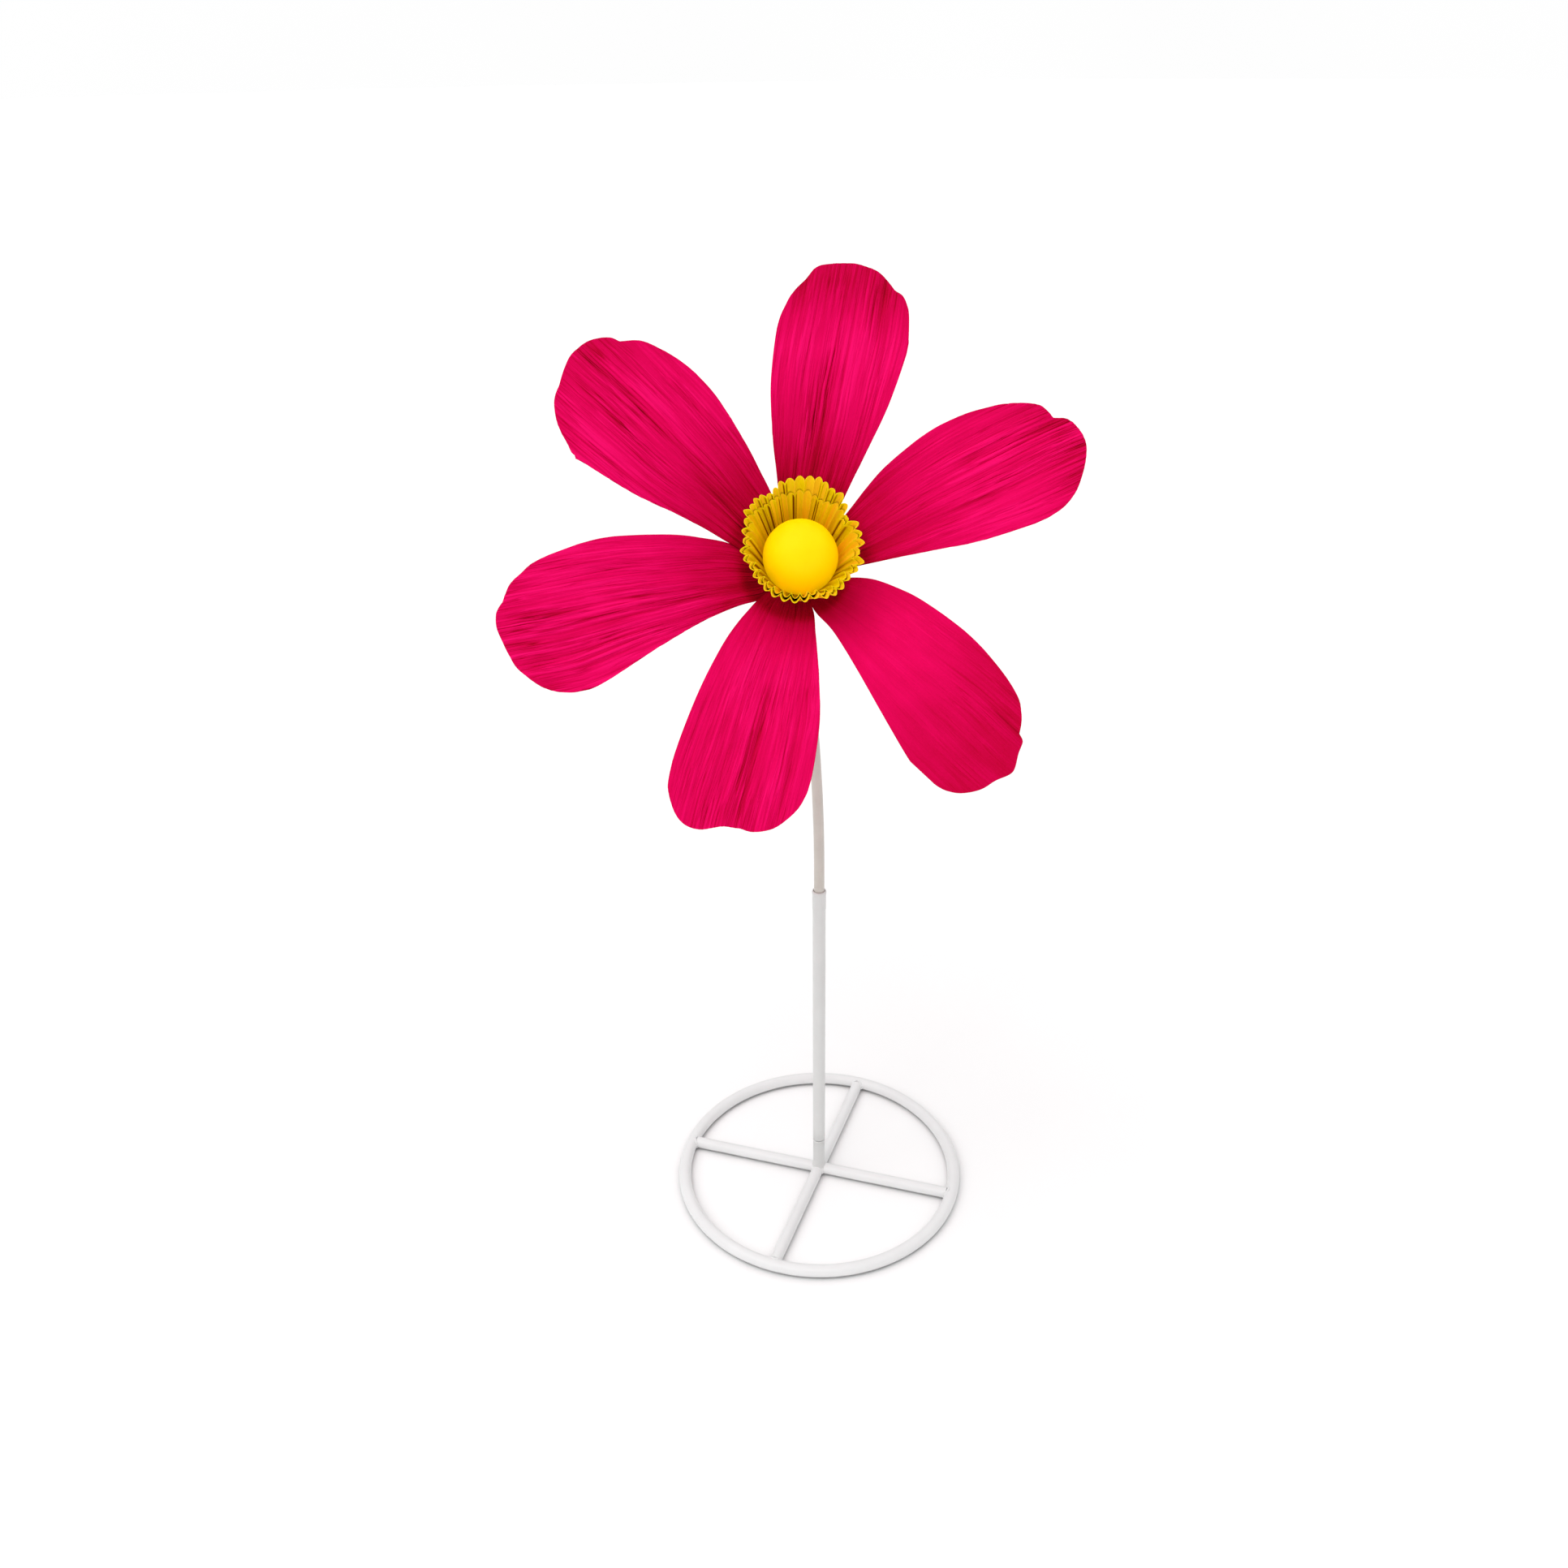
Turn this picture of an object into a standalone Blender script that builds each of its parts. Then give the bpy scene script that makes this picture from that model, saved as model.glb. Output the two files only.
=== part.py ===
"""Giant paper flower on a floor stand: six crepe-paper petals, two fluted cups and a ball, on a bent tube stem.

Metres, +Z up. The stand's cross is centred on the origin and rests on Z = 0. The flower looks towards -Y.
"""

import math

import bmesh
import bpy
import numpy as np
from mathutils import Matrix, Vector

MM = 0.001
GAP = 0.3 * MM              # clearance kept between neighbouring pieces

# Stand: a ring of steel tube with a welded cross, 300 mm across outside
RING_TUBE = 12.7 * MM
RING_OUTSIDE = 300.0 * MM
BAR_TUBE = 12.0 * MM
LONG_BAR_TURN = math.radians(-17.0)
SHORT_BAR_TURN = math.radians(70.0)
TUBE_SIDES = 12
RING_STEPS = 60

# Post: a socket welded on the cross, a spigot inside it, and a tube with a belled top
POST_OUTSIDE = 12.7 * MM
POST_INSIDE = 10.7 * MM
SOCKET_TOP = 46.5 * MM
POST_FOOT = 47.0 * MM
POST_TOP = 358.8 * MM
BELL_LENGTH = 20.5 * MM
BELL_OUTSIDE = 13.4 * MM
LIP_OUTSIDE = 13.8 * MM
EDGE = 0.4 * MM             # chamfer on tube ends
SPIGOT_DIAMETER = 10.0 * MM
SPIGOT_TOP = 110.0 * MM

# Stem: a thinner tube that leans to -X and then bends forward into the flower
STEM_OUTSIDE = 10.0 * MM
STEM_INSIDE = 8.0 * MM
STEM_FOOT = 262.0 * MM
LEAN_START = 380.0 * MM
LEAN_RATE = 0.254           # sideways metres per metre of height squared
BEND_START = 628.0 * MM
BEND_REACH = 36.0 * MM      # length of the curve's handles at each end of the bend

# Flower frame: its origin is the middle of the petals' roots, its local Z is the way the flower looks
FLOWER_HUB = Vector((-18.8, -44.1, 698.8)) * MM
FLOWER_RISE = math.radians(40.0)
FLOWER_TURN = math.radians(3.6)

# Petals: crepe laminate, all lying on one shallow cup that is turned about the flower's axis
PETAL_THICKNESS = 0.8 * MM
LAYER_SHIFT = 0.7 * MM      # alternate petals lie this far behind and in front of the cup
ROOT_RADIUS = 12.0 * MM
CUP_LENGTHS = (0.0, 14.0, 30.0, 70.0, 150.0, 250.0)     # mm along a petal from its root
CUP_SLOPES = (0.0, 2.0, 26.0, 26.0, 16.0, 4.0)          # degrees there
STATIONS = (0.0, 25.0, 50.0, 75.0, 100.0, 140.0, 180.0)  # mm, where the side edges are stated
PETAL_COLUMNS = 14
PETAL_ROWS = (0.0, 0.04, 0.07, 0.10, 0.13, 0.18, 0.25, 0.35, 0.45, 0.56, 0.67, 0.78, 0.89, 1.0)  # shares of its length

# Each petal: its direction round the flower in degrees, its half widths at STATIONS on the clockwise and the
# other side (mm), and its tip as lobes of (across, along) points in mm from the clockwise side to the other.
# Two lobes meet in a notch.
PETALS = (
    (
        77.0,
        (5.5, 18.5, 25.0, 31.5, 38.5, 49.2, 55.5),
        (5.5, 18.5, 26.5, 33.5, 40.7, 49.2, 52.0),
        (
            ((-56, 184), (-55, 197), (-52, 213), (-49, 220), (-44, 226), (-37, 228)),
            ((-37, 228), (-27, 236), (-17, 240), (-3, 241), (12, 239), (25, 236), (31, 232)),
            ((31, 232), (36, 224), (43, 215), (48, 204), (52, 184)),
        ),
    ),
    (
        21.0,
        (5.5, 15.0, 23.0, 30.5, 38.7, 51.1, 57.7),
        (5.5, 16.5, 25.5, 35.5, 43.8, 51.1, 51.6),
        (
            ((-58, 184), (-57, 200), (-54, 210), (-48, 219), (-40, 226), (-28, 234), (-15, 240), (-3, 240), (6, 238),
             (12, 234), (16, 226)),
            ((16, 226), (23, 225), (30, 223), (36, 216), (44, 201), (48, 186), (51, 168)),
        ),
    ),
    (
        -48.6,
        (5.5, 15.5, 19.5, 26.5, 34.5, 48.2, 60.7),
        (5.5, 22.5, 36.0, 42.5, 46.0, 46.8, 46.8),
        (
            ((-64, 190), (-65, 205), (-63, 219), (-58, 227), (-51, 232), (-40, 236), (-28, 237), (-17, 240),
             (-11, 239), (-1, 233), (8, 229), (11, 223)),
            ((11, 223), (18, 219), (24, 214), (32, 204), (40, 180), (46, 145)),
        ),
    ),
    (
        -107.6,
        (5.5, 23.0, 32.0, 38.7, 43.2, 48.1, 51.1),
        (5.5, 21.5, 28.5, 35.0, 41.2, 49.8, 54.1),
        (
            ((-51, 190), (-50, 213), (-47, 223), (-38, 235), (-29, 240), (-18, 240), (-7, 235), (1, 232), (12, 231)),
            ((12, 231), (19, 232), (29, 230), (38, 225), (47, 215), (52, 204), (54, 186)),
        ),
    ),
    (
        -166.6,
        (5.5, 21.5, 34.5, 41.0, 45.9, 49.9, 49.9),
        (5.5, 17.0, 21.0, 27.2, 35.3, 50.3, 65.8),
        (
            ((-50, 145), (-49, 164), (-46, 181), (-40, 206), (-32, 218), (-25, 227), (-13, 234)),
            ((-13, 234), (-9, 238), (-4, 241), (6, 243), (18, 242), (30, 241), (42, 239), (56, 232), (65, 224),
             (70, 213), (71, 200)),
        ),
    ),
    (
        136.7,
        (5.5, 18.5, 30.5, 38.0, 45.1, 54.2, 56.4),
        (5.5, 16.5, 24.5, 31.7, 40.1, 54.6, 63.6),
        (
            ((-56, 165), (-54, 184), (-48, 203), (-42, 212), (-32, 219)),
            ((-32, 219), (-29, 226), (-22, 232), (-12, 236), (0, 237), (11, 235), (29, 228)),
            ((29, 228), (37, 226), (44, 222), (53, 213), (60, 200), (64, 186)),
        ),
    ),
)

# Petal wires: paper-covered wire glued behind each petal's middle
WIRE_DIAMETER = 1.2 * MM
WIRE_START = -4.0 * MM      # along the petal from its root
WIRE_ROWS = PETAL_ROWS[:-2]  # the wire bends where its petal does, and stops short of the tip

# Hub card behind the wires, with a hole for the stem
HUB_RADIUS = 26.0 * MM
HUB_THICKNESS = 2.4 * MM
HUB_FRONT = -3.1 * MM

# Fluted paper cups, nested, and the ball glued in them; heights are along the flower's axis
CUP_PAPER = 0.5 * MM
OUTER_CUP = {"floor": 1.95, "rim": 63.5, "floor_radius": 26.6, "rim_radius": 49.5, "root_wave": 0.9,
             "rim_wave": 2.0, "flutes": 38}
INNER_CUP = {"floor": 2.75, "rim": 54.0, "floor_radius": 25.1, "rim_radius": 44.4, "root_wave": 0.9,
             "rim_wave": 1.8, "flutes": 38}
FLUTE_POINTS = 4
CUP_ROWS = 3
BALL_DIAMETER = 60.0 * MM
BALL_HEIGHT = 33.4 * MM


def clear_scene():
    for old in list(bpy.data.objects):
        bpy.data.objects.remove(old, do_unlink=True)


def material(name, colour, roughness, metallic=0.0):
    made = bpy.data.materials.new(name)
    made.use_nodes = True
    shader = made.node_tree.nodes["Principled BSDF"]
    shader.inputs["Base Color"].default_value = (*colour, 1.0)
    shader.inputs["Roughness"].default_value = roughness
    shader.inputs["Metallic"].default_value = metallic
    return made


def add_object(name, mesh, finish, parent=None):
    made = bpy.data.objects.new(name, mesh)
    bpy.context.scene.collection.objects.link(made)
    mesh.materials.append(finish)
    mesh.shade_smooth()
    mesh.set_sharp_from_angle(angle=math.radians(40.0))
    made.parent = parent
    return made


def mesh_from(name, points, faces):
    """A mesh with its faces pointing out."""
    mesh = bpy.data.meshes.new(name)
    mesh.from_pydata([tuple(p) for p in points], [], faces)
    shape = bmesh.new()
    shape.from_mesh(mesh)
    bmesh.ops.recalc_face_normals(shape, faces=shape.faces)
    shape.to_mesh(mesh)
    shape.free()
    return mesh


def bridged(rings, first, second):
    """Quads between two rings, given by their place in the list of rings."""
    count = len(rings[first])
    a, b = first * count, second * count
    return [(a + i, a + (i + 1) % count, b + (i + 1) % count, b + i) for i in range(count)]


def swept(name, path, outside, inside=0.0, sides=TUBE_SIDES):
    """A tube, or a rod if inside is 0, that follows a path. On a level path its lowest side is a flat."""
    path = [Vector(p) for p in path]
    along = (path[1] - path[0]).normalized()
    side = along.orthogonal().normalized()
    if abs(along.z) < 0.9:
        side = along.cross(Vector((0.0, 0.0, 1.0))).normalized()
    start = math.pi / sides
    outer, inner = [], []
    for i, point in enumerate(path):
        ahead = (path[min(i + 1, len(path) - 1)] - path[max(i - 1, 0)]).normalized()
        side = along.rotation_difference(ahead) @ side
        along = ahead
        up = side.cross(along)
        spokes = [
            side * math.cos(start + 2.0 * math.pi * k / sides) + up * math.sin(start + 2.0 * math.pi * k / sides)
            for k in range(sides)
        ]
        outer.append([point + outside / 2.0 * spoke for spoke in spokes])
        inner.append([point + inside / 2.0 * spoke for spoke in spokes])
    last = len(path) - 1
    faces = []
    if inside == 0.0:
        rings = outer
        for i in range(last):
            faces += bridged(rings, i, i + 1)
        faces.append(tuple(range(sides)))
        faces.append(tuple(range(last * sides, last * sides + sides)))
    else:
        rings = outer + inner
        for i in range(last):
            faces += bridged(rings, i, i + 1)
            faces += bridged(rings, last + 1 + i, last + 2 + i)
        faces += bridged(rings, 0, last + 1)
        faces += bridged(rings, last, 2 * last + 1)
    return mesh_from(name, [p for ring in rings for p in ring], faces)


def turned(name, profile, steps=24):
    """A closed profile of (radius, height) pairs turned about Z."""
    rings = [
        [
            Vector((radius * math.cos(2.0 * math.pi * k / steps), radius * math.sin(2.0 * math.pi * k / steps), height))
            for k in range(steps)
        ]
        for radius, height in profile
    ]
    faces = []
    for i in range(len(rings)):
        faces += bridged(rings, i, (i + 1) % len(rings))
    return mesh_from(name, [p for ring in rings for p in ring], faces)


def flat_radius(diameter, sides=TUBE_SIDES):
    """From a tube's middle to the middle of its lowest flat."""
    return diameter / 2.0 * math.cos(math.pi / sides)


# ---------------------------------------------------------------- stand

def ring_radius():
    return (RING_OUTSIDE - RING_TUBE) / 2.0


def ring_mesh(name, tube, height):
    """A ring of tube lying flat, with its middle at the given height."""
    radius = ring_radius()
    rings = []
    for step in range(RING_STEPS):
        turn = 2.0 * math.pi * step / RING_STEPS
        out = Vector((math.cos(turn), math.sin(turn), 0.0))
        spokes = [math.pi * (2 * k + 1) / TUBE_SIDES for k in range(TUBE_SIDES)]
        rings.append(
            [
                out * (radius + tube / 2.0 * math.cos(a)) + Vector((0.0, 0.0, height + tube / 2.0 * math.sin(a)))
                for a in spokes
            ]
        )
    faces = []
    for i in range(RING_STEPS):
        faces += bridged(rings, i, (i + 1) % RING_STEPS)
    return mesh_from(name, [p for ring in rings for p in ring], faces)


def cut(target, cutter):
    modifier = target.modifiers.new("cope_" + cutter.name, "BOOLEAN")
    modifier.operation = "DIFFERENCE"
    modifier.object = cutter
    modifier.solver = "EXACT"


def add_cutter(name, mesh):
    made = bpy.data.objects.new(name, mesh)
    bpy.context.scene.collection.objects.link(made)
    made.hide_render = True
    made.display_type = "WIRE"
    return made


def build_stand(white):
    ring_height = flat_radius(RING_TUBE)
    add_object("base_ring", ring_mesh("base_ring", RING_TUBE, ring_height), white)
    ring_cutter = add_cutter("ring_cope", ring_mesh("ring_cope", RING_TUBE + 2.0 * GAP, ring_height))

    bar_height = flat_radius(BAR_TUBE)
    reach = ring_radius() - RING_TUBE / 2.0 + 3.0 * MM
    along = Vector((math.cos(LONG_BAR_TURN), math.sin(LONG_BAR_TURN), 0.0))
    middle = Vector((0.0, 0.0, bar_height))
    long_bar = add_object(
        "cross_bar_long", swept("cross_bar_long", (middle - along * reach, middle + along * reach), BAR_TUBE), white
    )
    cut(long_bar, ring_cutter)

    bar_cutter = add_cutter(
        "bar_cope",
        swept("bar_cope", (middle - along * reach, middle + along * reach), BAR_TUBE + 2.0 * GAP),
    )
    across = Vector((math.cos(SHORT_BAR_TURN), math.sin(SHORT_BAR_TURN), 0.0))
    root = BAR_TUBE / 4.0
    for name, side in (("cross_bar_front", -1.0), ("cross_bar_back", 1.0)):
        path = (middle + across * side * root, middle + across * side * reach)
        bar = add_object(name, swept(name, path, BAR_TUBE), white)
        cut(bar, ring_cutter)
        cut(bar, bar_cutter)

    socket_foot = 2.0 * bar_height + GAP
    outside, inside = POST_OUTSIDE / 2.0, POST_INSIDE / 2.0
    socket = ((outside, socket_foot), (outside, SOCKET_TOP - EDGE), (outside - EDGE, SOCKET_TOP),
              (inside, SOCKET_TOP), (inside, socket_foot))
    add_object("base_socket", turned("base_socket", socket), white)


def build_post(white, steel):
    spigot_foot = 2.0 * flat_radius(BAR_TUBE) + 2.0 * GAP
    spigot = ((0.0, 0.0, spigot_foot), (0.0, 0.0, SPIGOT_TOP))
    add_object("joint_spigot", swept("joint_spigot", spigot, SPIGOT_DIAMETER), steel)

    outside, inside = POST_OUTSIDE / 2.0, POST_INSIDE / 2.0
    bell, lip = BELL_OUTSIDE / 2.0, LIP_OUTSIDE / 2.0
    bell_foot = POST_TOP - BELL_LENGTH
    lip_height = 4.2 * MM
    post = (
        (outside - EDGE, POST_FOOT),
        (outside, POST_FOOT + EDGE),
        (outside, bell_foot - 2.0 * EDGE),
        (bell, bell_foot),
        (bell, POST_TOP - lip_height),
        (lip, POST_TOP - lip_height + EDGE),
        (lip, POST_TOP - 3.0 * EDGE),
        (bell - EDGE, POST_TOP),
        (inside, POST_TOP),
        (inside, POST_FOOT),
    )
    add_object("lower_post", turned("lower_post", post), white)


def flower_matrix():
    """Local X to the right, local Y up the flower's face, local Z the way it looks."""
    look = Vector((
        math.sin(FLOWER_TURN) * math.cos(FLOWER_RISE),
        -math.cos(FLOWER_TURN) * math.cos(FLOWER_RISE),
        math.sin(FLOWER_RISE),
    ))
    right = Vector((math.cos(FLOWER_TURN), math.sin(FLOWER_TURN), 0.0))
    up = look.cross(right)
    turn = Matrix((right, up, look)).transposed().to_4x4()
    return Matrix.Translation(FLOWER_HUB) @ turn


def stem_path():
    """Straight in the post, then a lean that grows with height, then a bend into the back of the flower."""
    def leaning(height):
        lean = LEAN_RATE * max(0.0, height - LEAN_START) ** 2
        return Vector((-lean, 0.0, height))

    points = [Vector((0.0, 0.0, STEM_FOOT)), Vector((0.0, 0.0, LEAN_START))]
    lean_steps = 7
    for step in range(1, lean_steps + 1):
        points.append(leaning(LEAN_START + (BEND_START - LEAN_START) * step / lean_steps))
    start = points[-1]
    start_direction = (leaning(BEND_START) - leaning(BEND_START - 1.0 * MM)).normalized()
    look = flower_matrix().to_3x3() @ Vector((0.0, 0.0, 1.0))
    end = FLOWER_HUB + look * 1.2 * MM
    first_handle = start + start_direction * BEND_REACH
    second_handle = end - look * BEND_REACH
    bend_steps = 9
    for step in range(1, bend_steps + 1):
        f = step / bend_steps
        points.append(
            start * (1.0 - f) ** 3
            + first_handle * 3.0 * f * (1.0 - f) ** 2
            + second_handle * 3.0 * f * f * (1.0 - f)
            + end * f**3
        )
    return points


# ---------------------------------------------------------------- petals

class Cup:
    """The turned surface that the petals lie on: radius and height against length along a petal, in metres."""

    def __init__(self):
        self.length = np.linspace(0.0, 0.260, 521)
        slope = np.radians(np.interp(self.length / MM, CUP_LENGTHS, CUP_SLOPES))
        step = self.length[1] - self.length[0]
        middle = (slope[1:] + slope[:-1]) / 2.0
        self.radius = ROOT_RADIUS + np.concatenate(([0.0], np.cumsum(np.cos(middle)) * step))
        self.height = np.concatenate(([0.0], np.cumsum(np.sin(middle)) * step))

    def point(self, along, across):
        """The place at a length along a petal and a distance across it, round the flower's axis."""
        radius = ROOT_RADIUS + along if along < 0.0 else float(np.interp(along, self.length, self.radius))
        height = float(np.interp(along, self.length, self.height))
        turn = across / radius
        return Vector((radius * math.cos(turn), radius * math.sin(turn), height))


def spline(points, steps=6):
    """Points on a smooth curve through the given ones."""
    ends = [points[0], *points, points[-1]]
    curve = []
    for before, start, stop, after in zip(ends, ends[1:], ends[2:], ends[3:]):
        for step in range(steps):
            f = step / steps
            curve.append(tuple(
                0.5 * (2 * b + (c - a) * f + (2 * a - 5 * b + 4 * c - d) * f * f + (3 * b - a - 3 * c + d) * f**3)
                for a, b, c, d in zip(before, start, stop, after)
            ))
    curve.append(points[-1])
    return curve


class PetalShape:
    """A petal's outline. A column runs from the root to the tip at a constant share of the width."""

    def __init__(self, clockwise, other, lobes):
        self.sides = {}
        self.limits = {}
        tip = [point for lobe in lobes for point in spline(lobe)]
        for sign, widths, (across, along) in ((-1.0, clockwise, tip[0]), (1.0, other, tip[-1])):
            kept = [(s, w) for s, w in zip(STATIONS, widths) if s < along - 5.0]
            curve = spline([*kept, (float(along), abs(float(across)))])
            self.sides[sign] = ([s for s, _ in curve], [w for _, w in curve])
            self.limits[sign] = abs(float(across))
        shares = [t / self.limits[1.0 if t > 0.0 else -1.0] for t, _ in tip]
        order = np.argsort(shares, kind="stable")
        self.tip_shares = [shares[i] for i in order]
        self.tip_lengths = [tip[i][1] for i in order]

    def half_width(self, along, sign):
        lengths, widths = self.sides[sign]
        return float(np.interp(along, lengths, widths))

    def place(self, share, row):
        """(along, across) in metres; row runs from 0 at the root to 1 at the edge of the tip."""
        along = row * float(np.interp(share, self.tip_shares, self.tip_lengths))
        across = share * self.half_width(along, 1.0 if share > 0.0 else -1.0)
        return along * MM, across * MM


def petal_mesh(name, cup, shape, layer):
    """An open sheet that Solidify thickens. Its columns crowd towards both side edges."""
    shares = [math.sin(math.pi / 2.0 * (2.0 * c / PETAL_COLUMNS - 1.0)) for c in range(PETAL_COLUMNS + 1)]
    points = []
    for row in PETAL_ROWS:
        for share in shares:
            along, across = shape.place(share, row)
            points.append(cup.point(along, across) + Vector((0.0, 0.0, layer)))
    wide = PETAL_COLUMNS + 1
    faces = [
        (r * wide + c, r * wide + c + 1, (r + 1) * wide + c + 1, (r + 1) * wide + c)
        for r in range(len(PETAL_ROWS) - 1)
        for c in range(PETAL_COLUMNS)
    ]
    return mesh_from(name, points, faces)


def thicken(target, thickness, offset=0.0):
    modifier = target.modifiers.new("thickness", "SOLIDIFY")
    modifier.thickness = thickness
    modifier.offset = offset
    modifier.use_even_offset = True


def build_petals(flower, magenta, wire_paper):
    cup = Cup()
    for number, (direction, clockwise, other, lobes) in enumerate(PETALS, start=1):
        layer = -LAYER_SHIFT if number % 2 else LAYER_SHIFT
        shape = PetalShape(clockwise, other, lobes)
        petal = add_object(
            f"petal_{number}", petal_mesh(f"petal_{number}", cup, shape, layer), magenta, parent=flower
        )
        petal.rotation_euler.z = math.radians(direction)
        thicken(petal, PETAL_THICKNESS)

        behind = layer - PETAL_THICKNESS / 2.0 - 1.5 * GAP - WIRE_DIAMETER / 2.0
        lengths = [WIRE_START, *[shape.place(0.0, row)[0] for row in WIRE_ROWS]]
        path = [cup.point(length, 0.0) + Vector((0.0, 0.0, behind)) for length in lengths]
        wire = add_object(
            f"petal_wire_{number}", swept(f"petal_wire_{number}", path, WIRE_DIAMETER, sides=6), wire_paper,
            parent=flower,
        )
        wire.rotation_euler.z = math.radians(direction)


# ---------------------------------------------------------------- hub, cups and ball

def build_hub(flower, magenta):
    hole = STEM_OUTSIDE / 2.0 + GAP
    card = ((HUB_RADIUS, HUB_FRONT - HUB_THICKNESS), (HUB_RADIUS, HUB_FRONT), (hole, HUB_FRONT),
            (hole, HUB_FRONT - HUB_THICKNESS))
    add_object("hub_card", turned("hub_card", card, steps=32), magenta, parent=flower)


def fluted_sheet(name, cup):
    """A paper cup as an open sheet: a flat floor, then a wall whose flutes deepen towards the rim."""
    around = cup["flutes"] * FLUTE_POINTS
    points = [Vector((0.0, 0.0, cup["floor"] * MM))]
    for row in range(CUP_ROWS + 1):
        f = row / CUP_ROWS
        radius = cup["floor_radius"] + (cup["rim_radius"] - cup["floor_radius"]) * f
        wave = cup["root_wave"] + (cup["rim_wave"] - cup["root_wave"]) * f
        height = cup["floor"] + (cup["rim"] - cup["floor"]) * f
        for k in range(around):
            turn = 2.0 * math.pi * k / around
            reach = radius + wave * math.cos(2.0 * math.pi * k / FLUTE_POINTS)
            points.append(Vector((reach * math.cos(turn), reach * math.sin(turn), height)) * MM)
    faces = [(0, 1 + k, 1 + (k + 1) % around) for k in range(around)]
    for row in range(CUP_ROWS):
        a, b = 1 + row * around, 1 + (row + 1) * around
        faces += [(a + k, b + k, b + (k + 1) % around, a + (k + 1) % around) for k in range(around)]
    return mesh_from(name, points, faces)


def build_centre(flower, amber, yellow):
    for name, cup in (("fringe_outer", OUTER_CUP), ("fringe_inner", INNER_CUP)):
        made = add_object(name, fluted_sheet(name, cup), amber, parent=flower)
        thicken(made, CUP_PAPER)

    shape = bmesh.new()
    bmesh.ops.create_uvsphere(shape, u_segments=32, v_segments=16, radius=BALL_DIAMETER / 2.0)
    mesh = bpy.data.meshes.new("centre_ball")
    shape.to_mesh(mesh)
    shape.free()
    ball = add_object("centre_ball", mesh, yellow, parent=flower)
    ball.location = (0.0, 0.0, BALL_HEIGHT)


def main():
    clear_scene()
    white = material("white_enamel", (0.86, 0.86, 0.85), 0.35)
    steel = material("bare_steel", (0.55, 0.55, 0.56), 0.35, metallic=1.0)
    stem_white = material("stem_white", (0.80, 0.78, 0.75), 0.4)
    magenta = material("magenta_crepe", (0.75, 0.0, 0.09), 0.75)
    wire_paper = material("wire_paper", (0.55, 0.01, 0.08), 0.8)
    amber = material("amber_paper", (0.85, 0.45, 0.0), 0.6)
    yellow = material("yellow_ball", (1.0, 0.78, 0.0), 0.4)

    build_stand(white)
    build_post(white, steel)
    add_object("upper_stem", swept("upper_stem", stem_path(), STEM_OUTSIDE, STEM_INSIDE), stem_white)

    flower = bpy.data.objects.new("flower_frame", None)
    bpy.context.scene.collection.objects.link(flower)
    flower.matrix_world = flower_matrix()
    build_hub(flower, magenta)
    build_petals(flower, magenta, wire_paper)
    build_centre(flower, amber, yellow)


main()
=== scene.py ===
"""The looks of the giant paper flower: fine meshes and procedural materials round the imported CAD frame.

Metres, +Z up, in the row frame. The flower's own axes are found from the boxes of its ball and its hub card:
local X runs to the right, local Y up the flower's face, local Z the way it looks. The post, its socket and
the foot of the stem are placed by their nodes' boxes.
"""

import math

import bpy
import numpy as np
from mathutils import Matrix, Vector


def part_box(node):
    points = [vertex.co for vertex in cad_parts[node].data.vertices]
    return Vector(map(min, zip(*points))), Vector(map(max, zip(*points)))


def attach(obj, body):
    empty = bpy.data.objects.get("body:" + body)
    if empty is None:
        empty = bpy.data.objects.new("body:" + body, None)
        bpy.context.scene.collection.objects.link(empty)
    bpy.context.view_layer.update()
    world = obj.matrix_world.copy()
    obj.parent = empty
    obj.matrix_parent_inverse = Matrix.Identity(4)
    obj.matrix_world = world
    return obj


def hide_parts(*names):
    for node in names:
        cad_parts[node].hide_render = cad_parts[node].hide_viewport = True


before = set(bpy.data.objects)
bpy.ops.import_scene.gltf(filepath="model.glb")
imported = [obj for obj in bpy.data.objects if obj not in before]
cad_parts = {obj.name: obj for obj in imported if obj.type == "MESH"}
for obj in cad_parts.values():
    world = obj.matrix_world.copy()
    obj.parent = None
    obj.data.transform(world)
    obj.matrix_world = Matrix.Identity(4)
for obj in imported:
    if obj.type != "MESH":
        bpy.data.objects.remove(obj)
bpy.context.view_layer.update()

MM = 0.001
BODY = "root"

# ---------------------------------------------------------------- camera and light
LENS = 32.6                                 # mm, on a 36 mm sensor
SHIFT_Y = -0.0083
CAMERA_PLACE = Vector((-0.0323, -1.1470, 1.1002))
CAMERA_PITCH = math.radians(28.057)         # below level
CAMERA_ROLL = math.radians(0.711)
SKY_LOW = 0.50                              # share of the sky's brightness at the horizon
SKY_STRENGTH = 1.02
SUN_STRENGTH = 0.95
SUN_SPREAD = math.radians(55.0)
SUN_FROM = Vector((-0.40, -0.42, 0.82))
CONTACT_SHADE_HEIGHT = 0.0052                     # up to here the stand is darkened by painted contact shadow
CONTACT_SHADE_COLOUR = (0.10, 0.10, 0.10, 1.0)

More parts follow.
